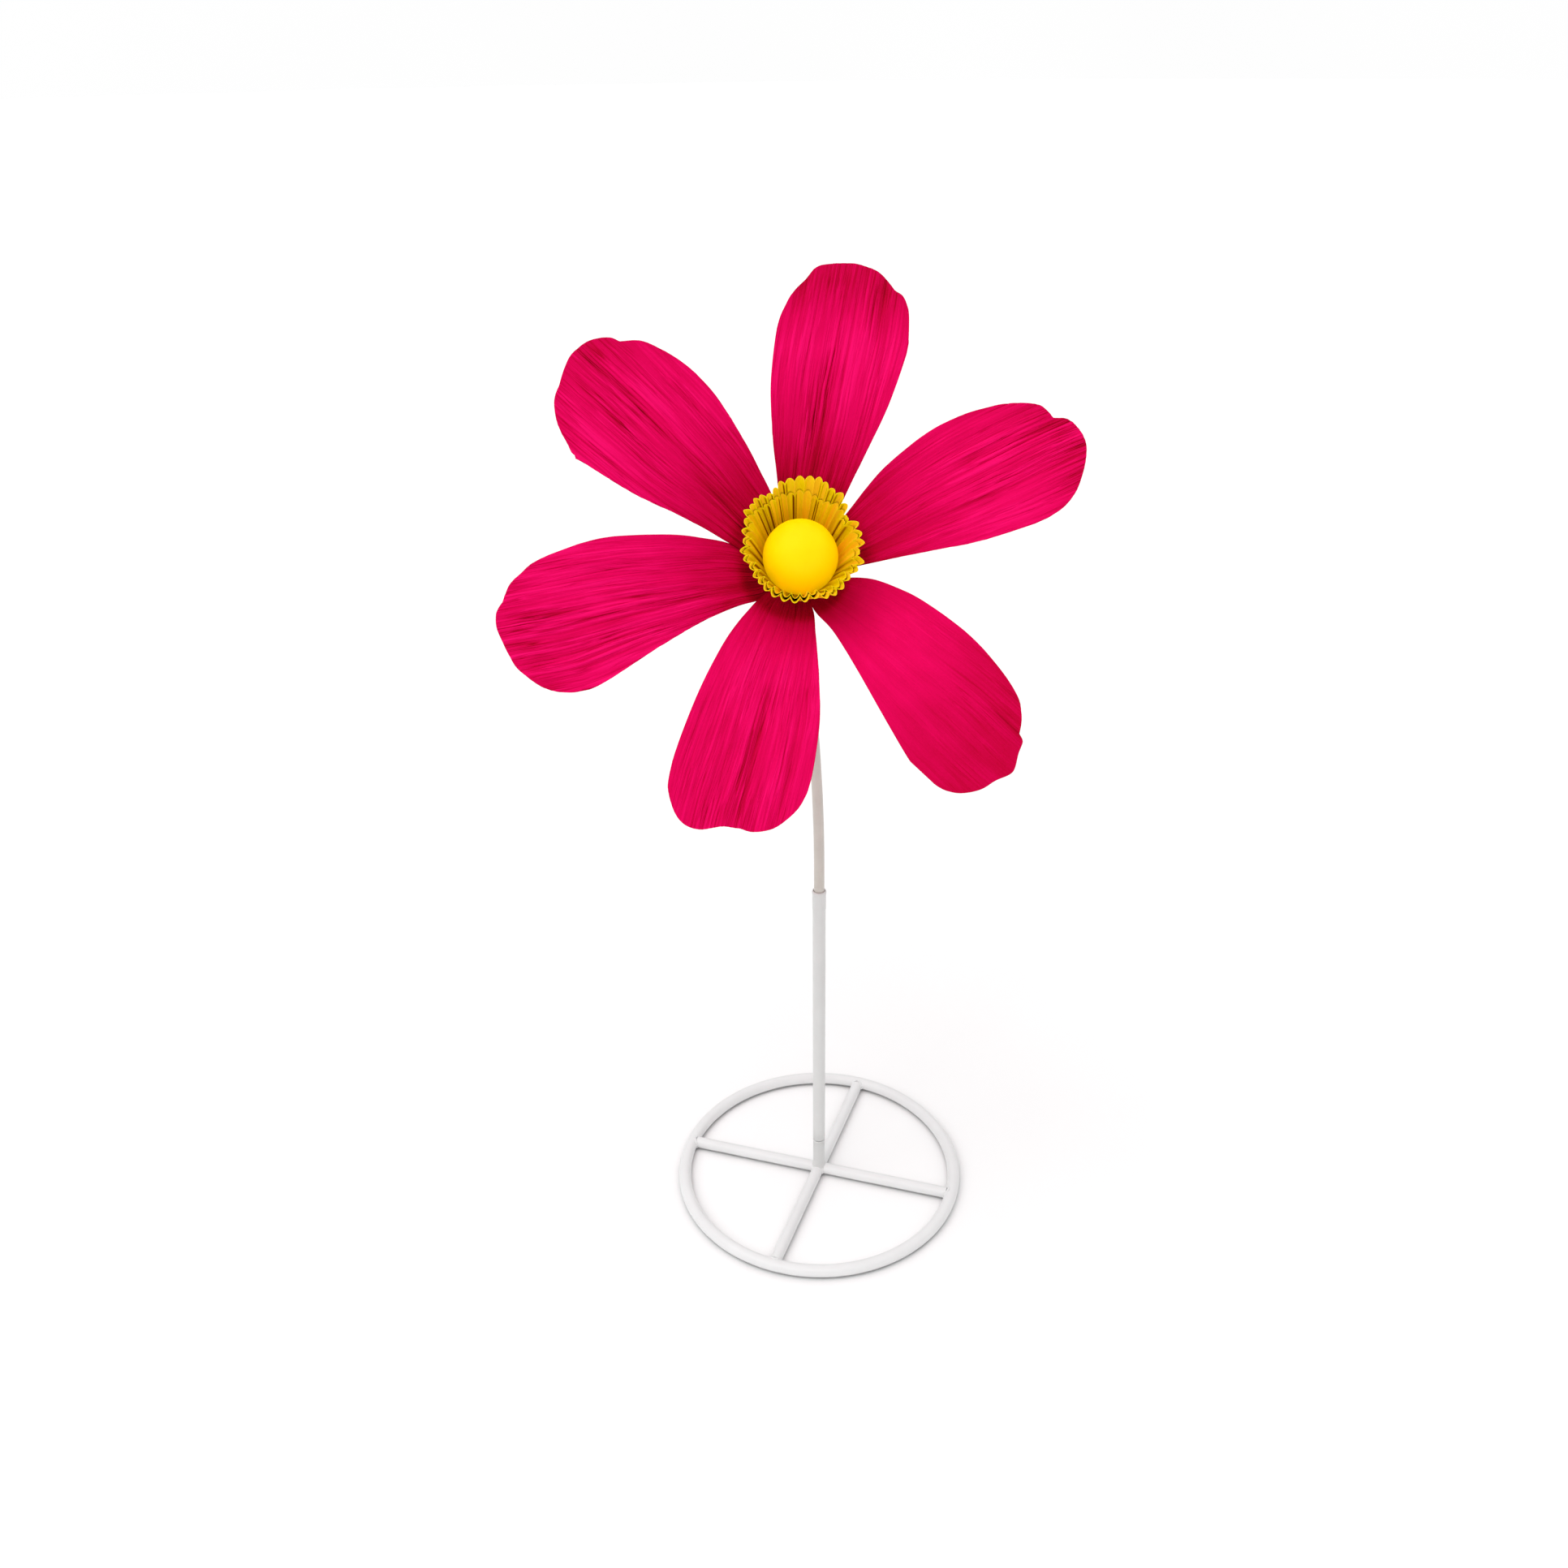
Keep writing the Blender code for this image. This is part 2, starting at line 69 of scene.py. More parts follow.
# ---------------------------------------------------------------- petals, in mm and degrees
PETAL_THICKNESS = 0.6
LAYER_SHIFT = 0.7
ROOT_RADIUS = 12.0
CUP_LENGTHS = (0.0, 14.0, 30.0, 70.0, 150.0, 250.0)
CUP_SLOPES = (0.0, 2.0, 26.0, 26.0, 16.0, 4.0)
STATIONS = (0.0, 25.0, 50.0, 75.0, 100.0, 140.0, 180.0)
SIDE_CLEARANCE = 18.0                       # a side's last station lies this far below the tip's first point
TONE_TRIM = 0.02
BACK_SHADE = 0.04                           # painted shade: how much darker the paper's back is drawn
PETAL_COLUMNS = 216
PETAL_ROWS = 100
WIRE_RADIUS = 0.6
WIRE_LENGTH = 186.0
WIRE_DEPTH = 1.1                            # from the paper's deepest crease to the wire's middle

# Each petal: its direction round the flower, its half widths at STATIONS on the clockwise and the other
# side, and its tip's lobes of (across, along) points. Then the paper: how strong its fine creases are, where
# they are strongest (across from -1 to 1, along from 0 to 1), its tone at TONE_STATIONS, partly the paper's
# own colour and partly painted shade, and folds as (across, width, from, to, depth, tone), the tone being
# painted shade along the fold where it is below 0 and painted highlight where above. "painted_fringe_shadow"
# is the fringe's shadow painted on the paper beside it: all of the way up to the first length, none from the
# second, and how much.
TONE_STATIONS = (30.0, 50.0, 80.0, 110.0, 140.0, 170.0, 200.0, 225.0)
PETALS = (
    {
        "turn": 77.0,
        "painted_fringe_shadow": (60, 74, 0.10),
        "clockwise": (5.5, 18.5, 25.0, 31.5, 38.5, 49.2, 55.5),
        "other": (5.5, 18.5, 26.5, 33.5, 40.7, 49.2, 52.0),
        "lobes": (
            ((-56, 184), (-55, 197), (-52, 213), (-49, 220), (-44, 226), (-37, 228)),
            ((-37, 228), (-27, 236), (-17, 240), (-3, 241), (12, 239), (25, 236), (31, 232)),
            ((31, 232), (36, 224), (43, 215), (48, 204), (52, 184)),
        ),
        "creases": 1.20,
        "strongest": (0.0, 0.6),
        "tones": (0.24, 0.38, 0.49, 0.68, 0.78, 0.86, 0.72, 0.56),
        "folds": (
            (-0.52, 0.13, 190, 232, -1.6, -0.17),
            (0.06, 0.11, 70, 160, -0.8, -0.11),
            (0.15, 0.30, 195, 245, 0.0, -0.07),
            (0.70, 0.08, 198, 236, -1.2, -0.14),
            (-0.30, 0.10, 90, 190, 0.8, 0.06),
            (0.45, 0.12, 80, 190, 0.9, 0.05),
        ),
    },
    {
        "turn": 21.0,
        "painted_fringe_shadow": (44, 57, 0.18),
        "clockwise": (5.5, 15.0, 23.0, 30.5, 38.7, 51.1, 57.7),
        "other": (5.5, 16.5, 25.5, 35.5, 43.8, 51.1, 51.6),
        "lobes": (
            ((-58, 184), (-57, 200), (-54, 210), (-48, 219), (-40, 226), (-28, 234), (-15, 240), (-3, 240),
             (6, 238), (12, 234), (16, 226)),
            ((16, 226), (23, 225), (30, 223), (36, 216), (44, 201), (48, 186), (51, 168)),
        ),
        "creases": 1.42,
        "strongest": (0.0, 0.85),
        "tones": (0.30, 0.47, 0.55, 0.70, 0.80, 0.79, 0.70, 0.61),
        "folds": (
            (0.24, 0.08, 195, 228, -1.1, -0.10),
            (-0.05, 0.06, 110, 200, -0.7, -0.08),
            (0.62, 0.07, 150, 215, -0.8, -0.08),
            (-0.70, 0.20, 110, 200, 0.8, 0.05),
        ),
    },
    {
        "turn": -48.6,
        "painted_fringe_shadow": (26, 36, 0.28),
        "clockwise": (5.5, 15.5, 19.5, 26.5, 34.5, 48.2, 60.7),
        "other": (5.5, 22.5, 36.0, 42.5, 46.0, 46.8, 46.8),
        "lobes": (
            ((-64, 190), (-65, 205), (-63, 219), (-58, 227), (-51, 232), (-40, 236), (-28, 237), (-17, 240),
             (-11, 239), (-1, 233), (8, 229), (11, 223)),
            ((11, 223), (18, 219), (24, 214), (32, 204), (40, 180), (46, 145)),
        ),
        "creases": 0.40,
        "strongest": (0.5, 0.9),
        "tones": (0.50, 0.73, 0.78, 0.80, 0.71, 0.61, 0.55, 0.52),
        "folds": (
            (0.24, 0.05, 196, 228, -1.0, -0.13),
            (0.42, 0.05, 190, 222, -0.8, -0.10),
            (0.75, 0.30, 150, 215, 0.0, -0.06),
        ),
    },
    {
        "turn": -107.6,
        "painted_fringe_shadow": (31, 41, 0.24),
        "clockwise": (5.5, 23.0, 32.0, 38.7, 43.2, 48.1, 51.1),
        "other": (5.5, 21.5, 28.5, 35.0, 41.2, 49.8, 54.1),
        "lobes": (
            ((-51, 190), (-50, 213), (-47, 223), (-38, 235), (-29, 240), (-18, 240), (-7, 235), (1, 232),
             (12, 231)),
            ((12, 231), (19, 232), (29, 230), (38, 225), (47, 215), (52, 204), (54, 186)),
        ),
        "creases": 1.15,
        "strongest": (0.0, 0.75),
        "tones": (0.48, 0.72, 0.80, 0.82, 0.77, 0.72, 0.72, 0.73),
        "folds": (
            (0.16, 0.11, 150, 238, -0.6, -0.07),
            (0.45, 0.07, 120, 225, 0.9, 0.07),
            (-0.35, 0.06, 130, 215, -0.6, -0.07),
            (0.94, 0.06, 70, 205, 0.3, 0.10),
        ),
    },
    {
        "turn": -166.6,
        "painted_fringe_shadow": (33, 43, 0.20),
        "clockwise": (5.5, 21.5, 34.5, 41.0, 45.9, 49.9, 49.9),
        "other": (5.5, 17.0, 21.0, 27.2, 35.3, 50.3, 65.8),
        "lobes": (
            ((-50, 145), (-49, 164), (-46, 181), (-40, 206), (-32, 218), (-25, 227), (-13, 234)),
            ((-13, 234), (-9, 238), (-4, 241), (6, 243), (18, 242), (30, 241), (42, 239), (56, 232),
             (65, 224), (70, 213), (71, 200)),
        ),
        "creases": 1.75,
        "strongest": (0.25, 0.7),
        "tones": (0.36, 0.53, 0.64, 0.80, 0.86, 0.84, 0.81, 0.74),
        "folds": (
            (0.33, 0.05, 120, 235, -1.1, -0.14),
            (0.58, 0.05, 130, 230, -1.1, -0.14),
            (0.80, 0.04, 120, 222, -0.9, -0.12),
            (0.03, 0.04, 60, 150, -0.6, -0.09),
            (-0.55, 0.06, 120, 210, -0.7, -0.07),
        ),
    },
    {
        "turn": 136.7,
        "painted_fringe_shadow": (44, 57, 0.18),
        "clockwise": (5.5, 18.5, 30.5, 38.0, 45.1, 54.2, 56.4),
        "other": (5.5, 16.5, 24.5, 31.7, 40.1, 54.6, 63.6),
        "lobes": (
            ((-56, 165), (-54, 184), (-48, 203), (-42, 212), (-32, 219)),
            ((-32, 219), (-29, 226), (-22, 232), (-12, 236), (0, 237), (11, 235), (29, 228)),
            ((29, 228), (37, 226), (44, 222), (53, 213), (60, 200), (64, 186)),
        ),
        "creases": 1.30,
        "strongest": (0.2, 0.7),
        "tones": (0.26, 0.43, 0.51, 0.67, 0.79, 0.79, 0.73, 0.68),
        "folds": (
            (0.00, 0.17, 60, 195, -1.0, -0.10),
            (0.58, 0.20, 150, 225, 0.8, 0.06),
            (-0.40, 0.15, 205, 238, -0.6, -0.08),
            (0.30, 0.05, 120, 215, -0.7, -0.08),
        ),
    },
)

# ---------------------------------------------------------------- fringe, in mm
# Each flute of the outer cup as (direction of its tip round the flower in degrees, how far out its tip is)
OUTER_TIPS = (
    (-174, 50.0), (-166, 49.0), (-155, 46.5), (-146, 48.0), (-137, 48.0), (-130, 49.5), (-120, 50.5),
    (-110, 51.0), (-100, 50.5), (-90, 49.0), (-81, 47.0), (-70, 49.5), (-62, 50.5), (-53, 49.5), (-41, 47.5),
    (-31, 49.0), (-21, 50.5), (-12, 45.5), (-2, 49.0), (7, 48.0), (19, 47.5), (29, 42.0), (38, 48.5),
    (50, 53.0), (59, 52.5), (66, 54.0), (72, 56.0), (80, 56.3), (89, 56.3), (98, 55.0), (107, 54.5),
    (113, 50.5), (121, 48.0), (127, 51.0), (134, 52.5), (140, 51.0), (147, 53.0), (157, 48.5), (166, 48.5),
    (176, 46.5),
)
# The walls of both cups follow these tips, the inner one inset. "dips" is where a rim is lower, and "leans"
# is where a wall leans in over the ball, each as (direction, width, mm).
WALL = {"floor": 1.95, "rim": 62.5, "floor_radius": 26.6, "root_wave": 0.9, "rim_wave": 2.3}
OUTER_CUP = {"floor": 1.95, "rim": 61.2, "inset": 0.0, "seed": 5, "ragged": 1.4, "dips": (), "leans": ()}
INNER_CUP = {"floor": 2.75, "rim": 56.5, "inset": 1.5, "seed": 9, "ragged": 3.4,
             "dips": ((84.0, 34.0, 8.5), (-95.0, 45.0, 2.5)), "leans": ((-95.0, 42.0, 2.4),)}
FLUTE_POINTS = 16
CUP_ROWS = 26
PAPER_HALF = 0.25                           # half of the cups' paper
BALL_RADIUS = 30.0 * MM
BALL_HEIGHT = 33.4 * MM                     # its middle, above the petals' root
BALL_SAG = 1.3 * MM                         # the ball sits a little low in the fringe
# painted light: the ball glows faintly, though it is no lamp, which lifts its shaded lower side
BALL_GLOW = 0.30
BALL_GLOW_COLOUR = (1.0, 0.80, 0.0, 1.0)

# ---------------------------------------------------------------- stand
RING_TUBE = 12.7 * MM / 2.0
RING_OUTSIDE = 150.0 * MM
BAR_RADIUS = 6.0 * MM
LONG_BAR_TURN = -math.radians(17.0)
SHORT_BAR_TURN = math.radians(70.0)
END_WELD = 1.25 * MM
CROSSING_WELD = 1.1 * MM
POST_OUTSIDE, POST_INSIDE = 6.35 * MM, 5.35 * MM
POST_BELL, POST_LIP = 6.68 * MM, 6.92 * MM
POST_BELL_LENGTH = 20.5 * MM
SOCKET_RADIUS = 6.15 * MM
STEM_RADIUS = 5.0 * MM
STEM_LEAN = 0.254                           # sideways, for each metre above LEAN_START, squared
LEAN_START = 380.0 * MM
BEND_START = 628.0 * MM
BEND_HANDLE = 36.0 * MM


# ---------------------------------------------------------------- the frame's places
def middle(node):
    low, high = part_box(node)
    return (low + high) / 2.0


def flower_matrix():
    ball = middle("centre_ball")
    look = (ball - middle("hub_card")).normalized()
    right = Vector((-look.y, look.x, 0.0)).normalized()
    up = look.cross(right)
    turn = Matrix((right, up, look)).transposed().to_4x4()
    return Matrix.Translation(ball - look * BALL_HEIGHT) @ turn


# ---------------------------------------------------------------- noise
class Noise:
    """Smooth noise in two dimensions, the same on each run."""

    def __init__(self, seed):
        maker = np.random.default_rng(seed)
        turns = maker.uniform(0.0, 2.0 * np.pi, (256, 256))
        self.slope_x, self.slope_y = np.cos(turns), np.sin(turns)

    def __call__(self, x, y):
        cell_x, cell_y = np.floor(x).astype(int), np.floor(y).astype(int)
        part_x, part_y = x - cell_x, y - cell_y
        ease_x = part_x * part_x * part_x * (part_x * (part_x * 6.0 - 15.0) + 10.0)
        ease_y = part_y * part_y * part_y * (part_y * (part_y * 6.0 - 15.0) + 10.0)

        def corner(i, j):
            a, b = (cell_x + i) % 256, (cell_y + j) % 256
            return self.slope_x[a, b] * (part_x - i) + self.slope_y[a, b] * (part_y - j)

        low = corner(0, 0) * (1.0 - ease_x) + corner(1, 0) * ease_x
        high = corner(0, 1) * (1.0 - ease_x) + corner(1, 1) * ease_x
        return 1.6 * (low * (1.0 - ease_y) + high * ease_y)


def smooth(low, high, value):
    """0 below low, 1 above high, and an even rise between them."""
    part = np.clip((value - low) / (high - low), 0.0, 1.0)
    return part * part * (3.0 - 2.0 * part)


def bump(value, centre, width):
    return np.exp(-(((value - centre) / width) ** 2))


# ---------------------------------------------------------------- meshes
def in_frame(points, place):
    """Points in mm on the flower, as metres in the row frame."""
    return points * MM @ place[:3, :3].T + place[:3, 3]


def add_piece(name, points, faces, material, slot, nodes, smooth_angle=50.0):
    """A mesh on the body, with its material, that stands in for the CAD nodes named. The slot argument is not
    used.
    """
    mesh = bpy.data.meshes.new(name)
    mesh.from_pydata([tuple(p) for p in points], [], [tuple(f) for f in faces])
    mesh.update()
    made = bpy.data.objects.new(name, mesh)
    bpy.context.scene.collection.objects.link(made)
    mesh.materials.append(material)
    mesh.shade_smooth()
    mesh.set_sharp_from_angle(angle=math.radians(smooth_angle))
    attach(made, BODY)
    if nodes:
        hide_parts(*nodes)
    return made


def set_values(made, name, values):
    layer = made.data.attributes.new(name, "FLOAT", "POINT")
    layer.data.foreach_set("value", np.asarray(values, np.float32))


def set_uv(made, places):
    layer = made.data.uv_layers.new(name="flat")
    loops = np.empty(len(made.data.loops), np.int32)
    made.data.loops.foreach_get("vertex_index", loops)
    layer.data.foreach_set("uv", np.asarray(places, np.float32)[loops].ravel())


def grid_normals(grid):
    along = np.gradient(grid, axis=0)
    across = np.gradient(grid, axis=1)
    normals = np.cross(along, across)
    return normals / np.maximum(np.linalg.norm(normals, axis=2, keepdims=True), 1e-12)


def both_sides(grid, normals, half):
    """The points of a thick sheet, first its front and then its back."""
    return np.concatenate(((grid + normals * half).reshape(-1, 3), (grid - normals * half).reshape(-1, 3)))


def sheet_faces(rows, columns, wrap=False):
    """Faces of a thick sheet: front, back, and the cut edge between them. Front points come first."""
    faces = []
    back = rows * columns
    spans = columns if wrap else columns - 1
    for r in range(rows - 1):
        for c in range(spans):
            d = (c + 1) % columns
            a, b, e, f = r * columns + c, r * columns + d, (r + 1) * columns + d, (r + 1) * columns + c
            faces.append((a, f, e, b))
            faces.append((back + a, back + b, back + e, back + f))
    for c in range(spans):
        d = (c + 1) % columns
        faces.append((c, d, back + d, back + c))
        top = (rows - 1) * columns
        faces.append((top + c, back + top + c, back + top + d, top + d))
    if not wrap:
        for r in range(rows - 1):
            a, b = r * columns, (r + 1) * columns
            faces.append((a, back + a, back + b, b))
            a, b = r * columns + columns - 1, (r + 1) * columns + columns - 1
            faces.append((a, b, back + b, back + a))
    return faces


def swept_points(path, radii, sides):
    """Rings of points along a path; each ring has its own radius."""
    path = [Vector(p) for p in path]
    along = (path[1] - path[0]).normalized()
    side = along.orthogonal().normalized()
    points = []
    for i, point in enumerate(path):
        ahead = (path[min(i + 1, len(path) - 1)] - path[max(i - 1, 0)]).normalized()
        side = (along.rotation_difference(ahead) @ side).normalized()
        along = ahead
        up = along.cross(side)
        for k in range(sides):
            turn = 2.0 * math.pi * k / sides
            points.append(point + radii[i] * (side * math.cos(turn) + up * math.sin(turn)))
    return points


def ring_faces(rings, sides, closed=False, capped=True):
    faces = []
    for i in range(rings if closed else rings - 1):
        a, b = i * sides, ((i + 1) % rings) * sides
        for k in range(sides):
            m = (k + 1) % sides
            faces.append((a + k, a + m, b + m, b + k))
    if capped and not closed:
        faces.append(tuple(reversed(range(sides))))
        faces.append(tuple(range((rings - 1) * sides, rings * sides)))
    return faces


def turned(profile, centre, steps):
    """A closed profile of (radius, height), outer side upwards, turned about an upright axis."""
    points = []
    for radius, height in profile:
        for k in range(steps):
            turn = 2.0 * math.pi * k / steps
            place = centre.x + radius * math.cos(turn), centre.y + radius * math.sin(turn), height
            points.append(Vector(place))
    return points, ring_faces(len(profile), steps, closed=True)


# ---------------------------------------------------------------- materials
class Nodes:
    """A short way to wire a material."""

    def __init__(self, name):
        self.material = bpy.data.materials.new(name)
        self.material.use_nodes = True
        self.tree = self.material.node_tree
        self.shader = self.tree.nodes["Principled BSDF"]

    def add(self, kind, **settings):
        node = self.tree.nodes.new(kind)
        for key, value in settings.items():
            setattr(node, key, value)
        return node

    def link(self, output, target):
        self.tree.links.new(output, target)

    def math(self, operation, first, second, clamp=False):
        node = self.add("ShaderNodeMath", operation=operation, use_clamp=clamp)
        for place, item in enumerate((first, second)):
            if isinstance(item, (int, float)):
                node.inputs[place].default_value = item
            else:
                self.link(item, node.inputs[place])
        return node.outputs[0]

    def noise(self, vector, scale, detail=3.0, roughness=0.5):
        node = self.add("ShaderNodeTexNoise")
        node.inputs["Scale"].default_value = scale
        node.inputs["Detail"].default_value = detail
        node.inputs["Roughness"].default_value = roughness
        self.link(vector, node.inputs["Vector"])
        return node.outputs["Fac"]

    def mapped(self, vector, scale):
        node = self.add("ShaderNodeMapping")
        node.inputs["Scale"].default_value = scale
        self.link(vector, node.inputs["Vector"])
        return node.outputs["Vector"]

    def ramp(self, factor, stops):
        node = self.add("ShaderNodeValToRGB")
        elements = node.color_ramp.elements
        while len(elements) < len(stops):
            elements.new(0.5)
        for element, (place, colour) in zip(elements, stops):
            element.position = place
            element.color = (*colour, 1.0)
        self.link(factor, node.inputs["Fac"])
        return node.outputs["Color"]

    def bumped(self, height, strength, distance):
        node = self.add("ShaderNodeBump")
        node.inputs["Strength"].default_value = strength
        node.inputs["Distance"].default_value = distance
        self.link(height, node.inputs["Height"])
        self.link(node.outputs["Normal"], self.shader.inputs["Normal"])

    def set(self, **numbers):
        for key, number in numbers.items():
            self.shader.inputs[key.replace("_", " ")].default_value = number


def linear(red, green, blue):
    """A colour given as 0 to 255 display values."""
    made = []
    for part in (red, green, blue):
        share = part / 255.0
        made.append(share / 12.92 if share <= 0.04045 else ((share + 0.055) / 1.055) ** 2.4)
    return tuple(made)


def crepe_material(name, stops, streak, lined=True):
    """Crepe paper: the mesh's tone drives the colour, with fibres and fine lines along the sheet; the lines
    are painted crease shadows, each with a painted highlight beside it.
    """
    made = Nodes(name)
    flat = made.add("ShaderNodeUVMap", uv_map="flat").outputs["UV"]
    tone = made.add("ShaderNodeAttribute", attribute_name="tone").outputs["Fac"]
    fibres = made.noise(made.mapped(flat, (620.0, 22.0, 1.0)), 1.0, 3.0, 0.6)
    grain = made.noise(made.mapped(flat, (1300.0, 420.0, 1.0)), 1.0, 2.0, 0.5)
    streaks = made.math("MULTIPLY", made.math("SUBTRACT", fibres, 0.5), streak * 2.4)
    specks = made.math("MULTIPLY", made.math("SUBTRACT", grain, 0.5), streak)
    height = made.math("ADD", made.math("MULTIPLY", fibres, 0.7), made.math("MULTIPLY", grain, 0.3))
    if lined:
        crease = made.add("ShaderNodeAttribute", attribute_name="crease").outputs["Fac"]
        # painted shade and highlight: each crease line is a dark band with a lighter one just beside it
        field = made.noise(made.mapped(flat, (430.0, 9.0, 1.0)), 1.0, 2.0, 0.55)
        away = made.math("ABSOLUTE", made.math("SUBTRACT", field, 0.5), 0.0)
        dark = made.math("SUBTRACT", 1.0, made.math("MULTIPLY", away, 24.0), clamp=True)
        away = made.math("ABSOLUTE", made.math("SUBTRACT", field, 0.545), 0.0)
        light = made.math("SUBTRACT", 1.0, made.math("MULTIPLY", away, 28.0), clamp=True)
        lines = made.math("SUBTRACT", dark, made.math("MULTIPLY", light, 0.7))
        lines = made.math("MULTIPLY", lines, made.math("ADD", made.math("MULTIPLY", crease, 0.85), 0.15))
        streaks = made.math("MULTIPLY", streaks, made.math("ADD", crease, 0.35))
        streaks = made.math("SUBTRACT", streaks, made.math("MULTIPLY", lines, 0.24))
        height = made.math("SUBTRACT", height, made.math("MULTIPLY", lines, 0.8))
    factor = made.math("ADD", made.math("ADD", tone, streaks), specks, clamp=True)
    made.link(made.ramp(factor, stops), made.shader.inputs["Base Color"])
    made.bumped(height, 0.45, 0.0004)
    made.set(Roughness=0.75, Specular_IOR_Level=0.03)
    return made.material


def enamel_material(name, colour, shade, contact_shade=0.0):
    """Powder coat: a faint orange-peel surface, slight greying, and a painted contact shadow, darker at the
    floor, if contact_shade is set.
    """
    made = Nodes(name)
    place = made.add("ShaderNodeTexCoord").outputs["Object"]
    cloud = made.noise(place, 28.0, 3.0, 0.55)
    peel = made.noise(place, 900.0, 2.0, 0.5)
    coat = made.ramp(cloud, ((0.30, shade), (0.62, colour)))
    # painted shade: towards the floor the coat fades to CONTACT_SHADE_COLOUR, a painted contact shadow
    if contact_shade:
        split = made.add("ShaderNodeSeparateXYZ")
        made.link(place, split.inputs["Vector"])
        uneven = made.math("MULTIPLY", made.math("SUBTRACT", cloud, 0.5), 0.002)
        height = made.math("ADD", split.outputs["Z"], uneven)
        low = made.math("SUBTRACT", 1.0, made.math("MULTIPLY", height, 1.0 / CONTACT_SHADE_HEIGHT), clamp=True)
        mix = made.add("ShaderNodeMixRGB")
        made.link(made.math("MULTIPLY", low, contact_shade, clamp=True), mix.inputs["Fac"])
        made.link(coat, mix.inputs["Color1"])
        mix.inputs["Color2"].default_value = CONTACT_SHADE_COLOUR
        coat = mix.outputs["Color"]
    made.link(coat, made.shader.inputs["Base Color"])
    made.bumped(peel, 0.10, 0.0002)
    made.set(Roughness=0.34, Specular_IOR_Level=0.5)
    return made.material


def ball_material():
    """Painted foam: a fine grain, some light below the surface, and a weak glow that evens the shading."""
    made = Nodes("satin_yellow")
    place = made.add("ShaderNodeTexCoord").outputs["Object"]
    cloud = made.noise(place, 30.0, 3.0, 0.5)
    grain = made.noise(place, 420.0, 3.0, 0.6)
    colour = made.ramp(cloud, ((0.30, linear(255, 194, 0)), (0.70, linear(255, 201, 1))))
    made.link(colour, made.shader.inputs["Base Color"])
    made.bumped(grain, 0.14, 0.0004)
    made.set(Roughness=0.5, Specular_IOR_Level=0.08, Subsurface_Weight=0.7, Subsurface_Scale=0.02)
    made.set(Subsurface_Radius=(1.0, 0.45, 0.05))
    # painted light: a weak glow on the ball
    made.set(Emission_Strength=BALL_GLOW, Emission_Color=BALL_GLOW_COLOUR)
    return made.material


def steel_material():
    made = Nodes("drawn_steel")
    place = made.add("ShaderNodeTexCoord").outputs["Object"]
    lines = made.noise(made.mapped(place, (900.0, 900.0, 12.0)), 1.0, 2.0, 0.5)
    colour = made.ramp(lines, ((0.3, (0.35, 0.35, 0.36)), (0.7, (0.60, 0.60, 0.61))))
    made.link(colour, made.shader.inputs["Base Color"])
    made.set(Metallic=1.0, Roughness=0.35)
    return made.material


def floor_material():
    made = Nodes("pale_floor")
    place = made.add("ShaderNodeTexCoord").outputs["Object"]
    cloud = made.noise(place, 3.0, 2.0, 0.5)
    colour = made.ramp(cloud, ((0.3, (0.968, 0.968, 0.968)), (0.7, (0.978, 0.978, 0.978))))
    made.link(colour, made.shader.inputs["Base Color"])
    made.set(Roughness=0.9, Specular_IOR_Level=0.0)
    return made.material


def backdrop_material():
    made = Nodes("white_backdrop")
    place = made.add("ShaderNodeTexCoord").outputs["Object"]
    cloud = made.noise(place, 0.1, 2.0, 0.5)
    white = made.ramp(cloud, ((0.3, (0.985, 0.985, 0.985)), (0.7, (1.0, 1.0, 1.0))))
    glow = made.add("ShaderNodeEmission")
    made.link(white, glow.inputs["Color"])
    made.link(glow.outputs["Emission"], made.tree.nodes["Material Output"].inputs["Surface"])
    return made.material


# ---------------------------------------------------------------- petals
def spline(points, before=None, after=None, steps=10):
    """A smooth curve through the points. before and after are the neighbours past its ends."""
    ends = [before or points[0], *points, after or points[-1]]
    curve = []
    for around in zip(ends, ends[1:], ends[2:], ends[3:]):
        for step in range(steps):
            f = step / steps
            place = []
            for a, b, c, d in zip(*around):
                bend, twist = 2 * a - 5 * b + 4 * c - d, 3 * b - a - 3 * c + d
                place.append(0.5 * (2 * b + (c - a) * f + bend * f * f + twist * f**3))
            curve.append(tuple(place))
    curve.append(points[-1])
    return curve


class Cup:
    """The shallow turned surface that the petals lie on, in mm."""

    def __init__(self):
        self.length = np.linspace(0.0, 260.0, 521)
        slope = np.radians(np.interp(self.length, CUP_LENGTHS, CUP_SLOPES))
        step = self.length[1] - self.length[0]
        mean = (slope[1:] + slope[:-1]) / 2.0
        self.radius = ROOT_RADIUS + np.concatenate(([0.0], np.cumsum(np.cos(mean)) * step))
        self.height = np.concatenate(([0.0], np.cumsum(np.sin(mean)) * step))

    def grid(self, along, across):
        radius = np.where(along < 0.0, ROOT_RADIUS + along, np.interp(along, self.length, self.radius))
        height = np.interp(along, self.length, self.height)
        turn = across / radius
        return np.stack((radius * np.cos(turn), radius * np.sin(turn), height), axis=2)


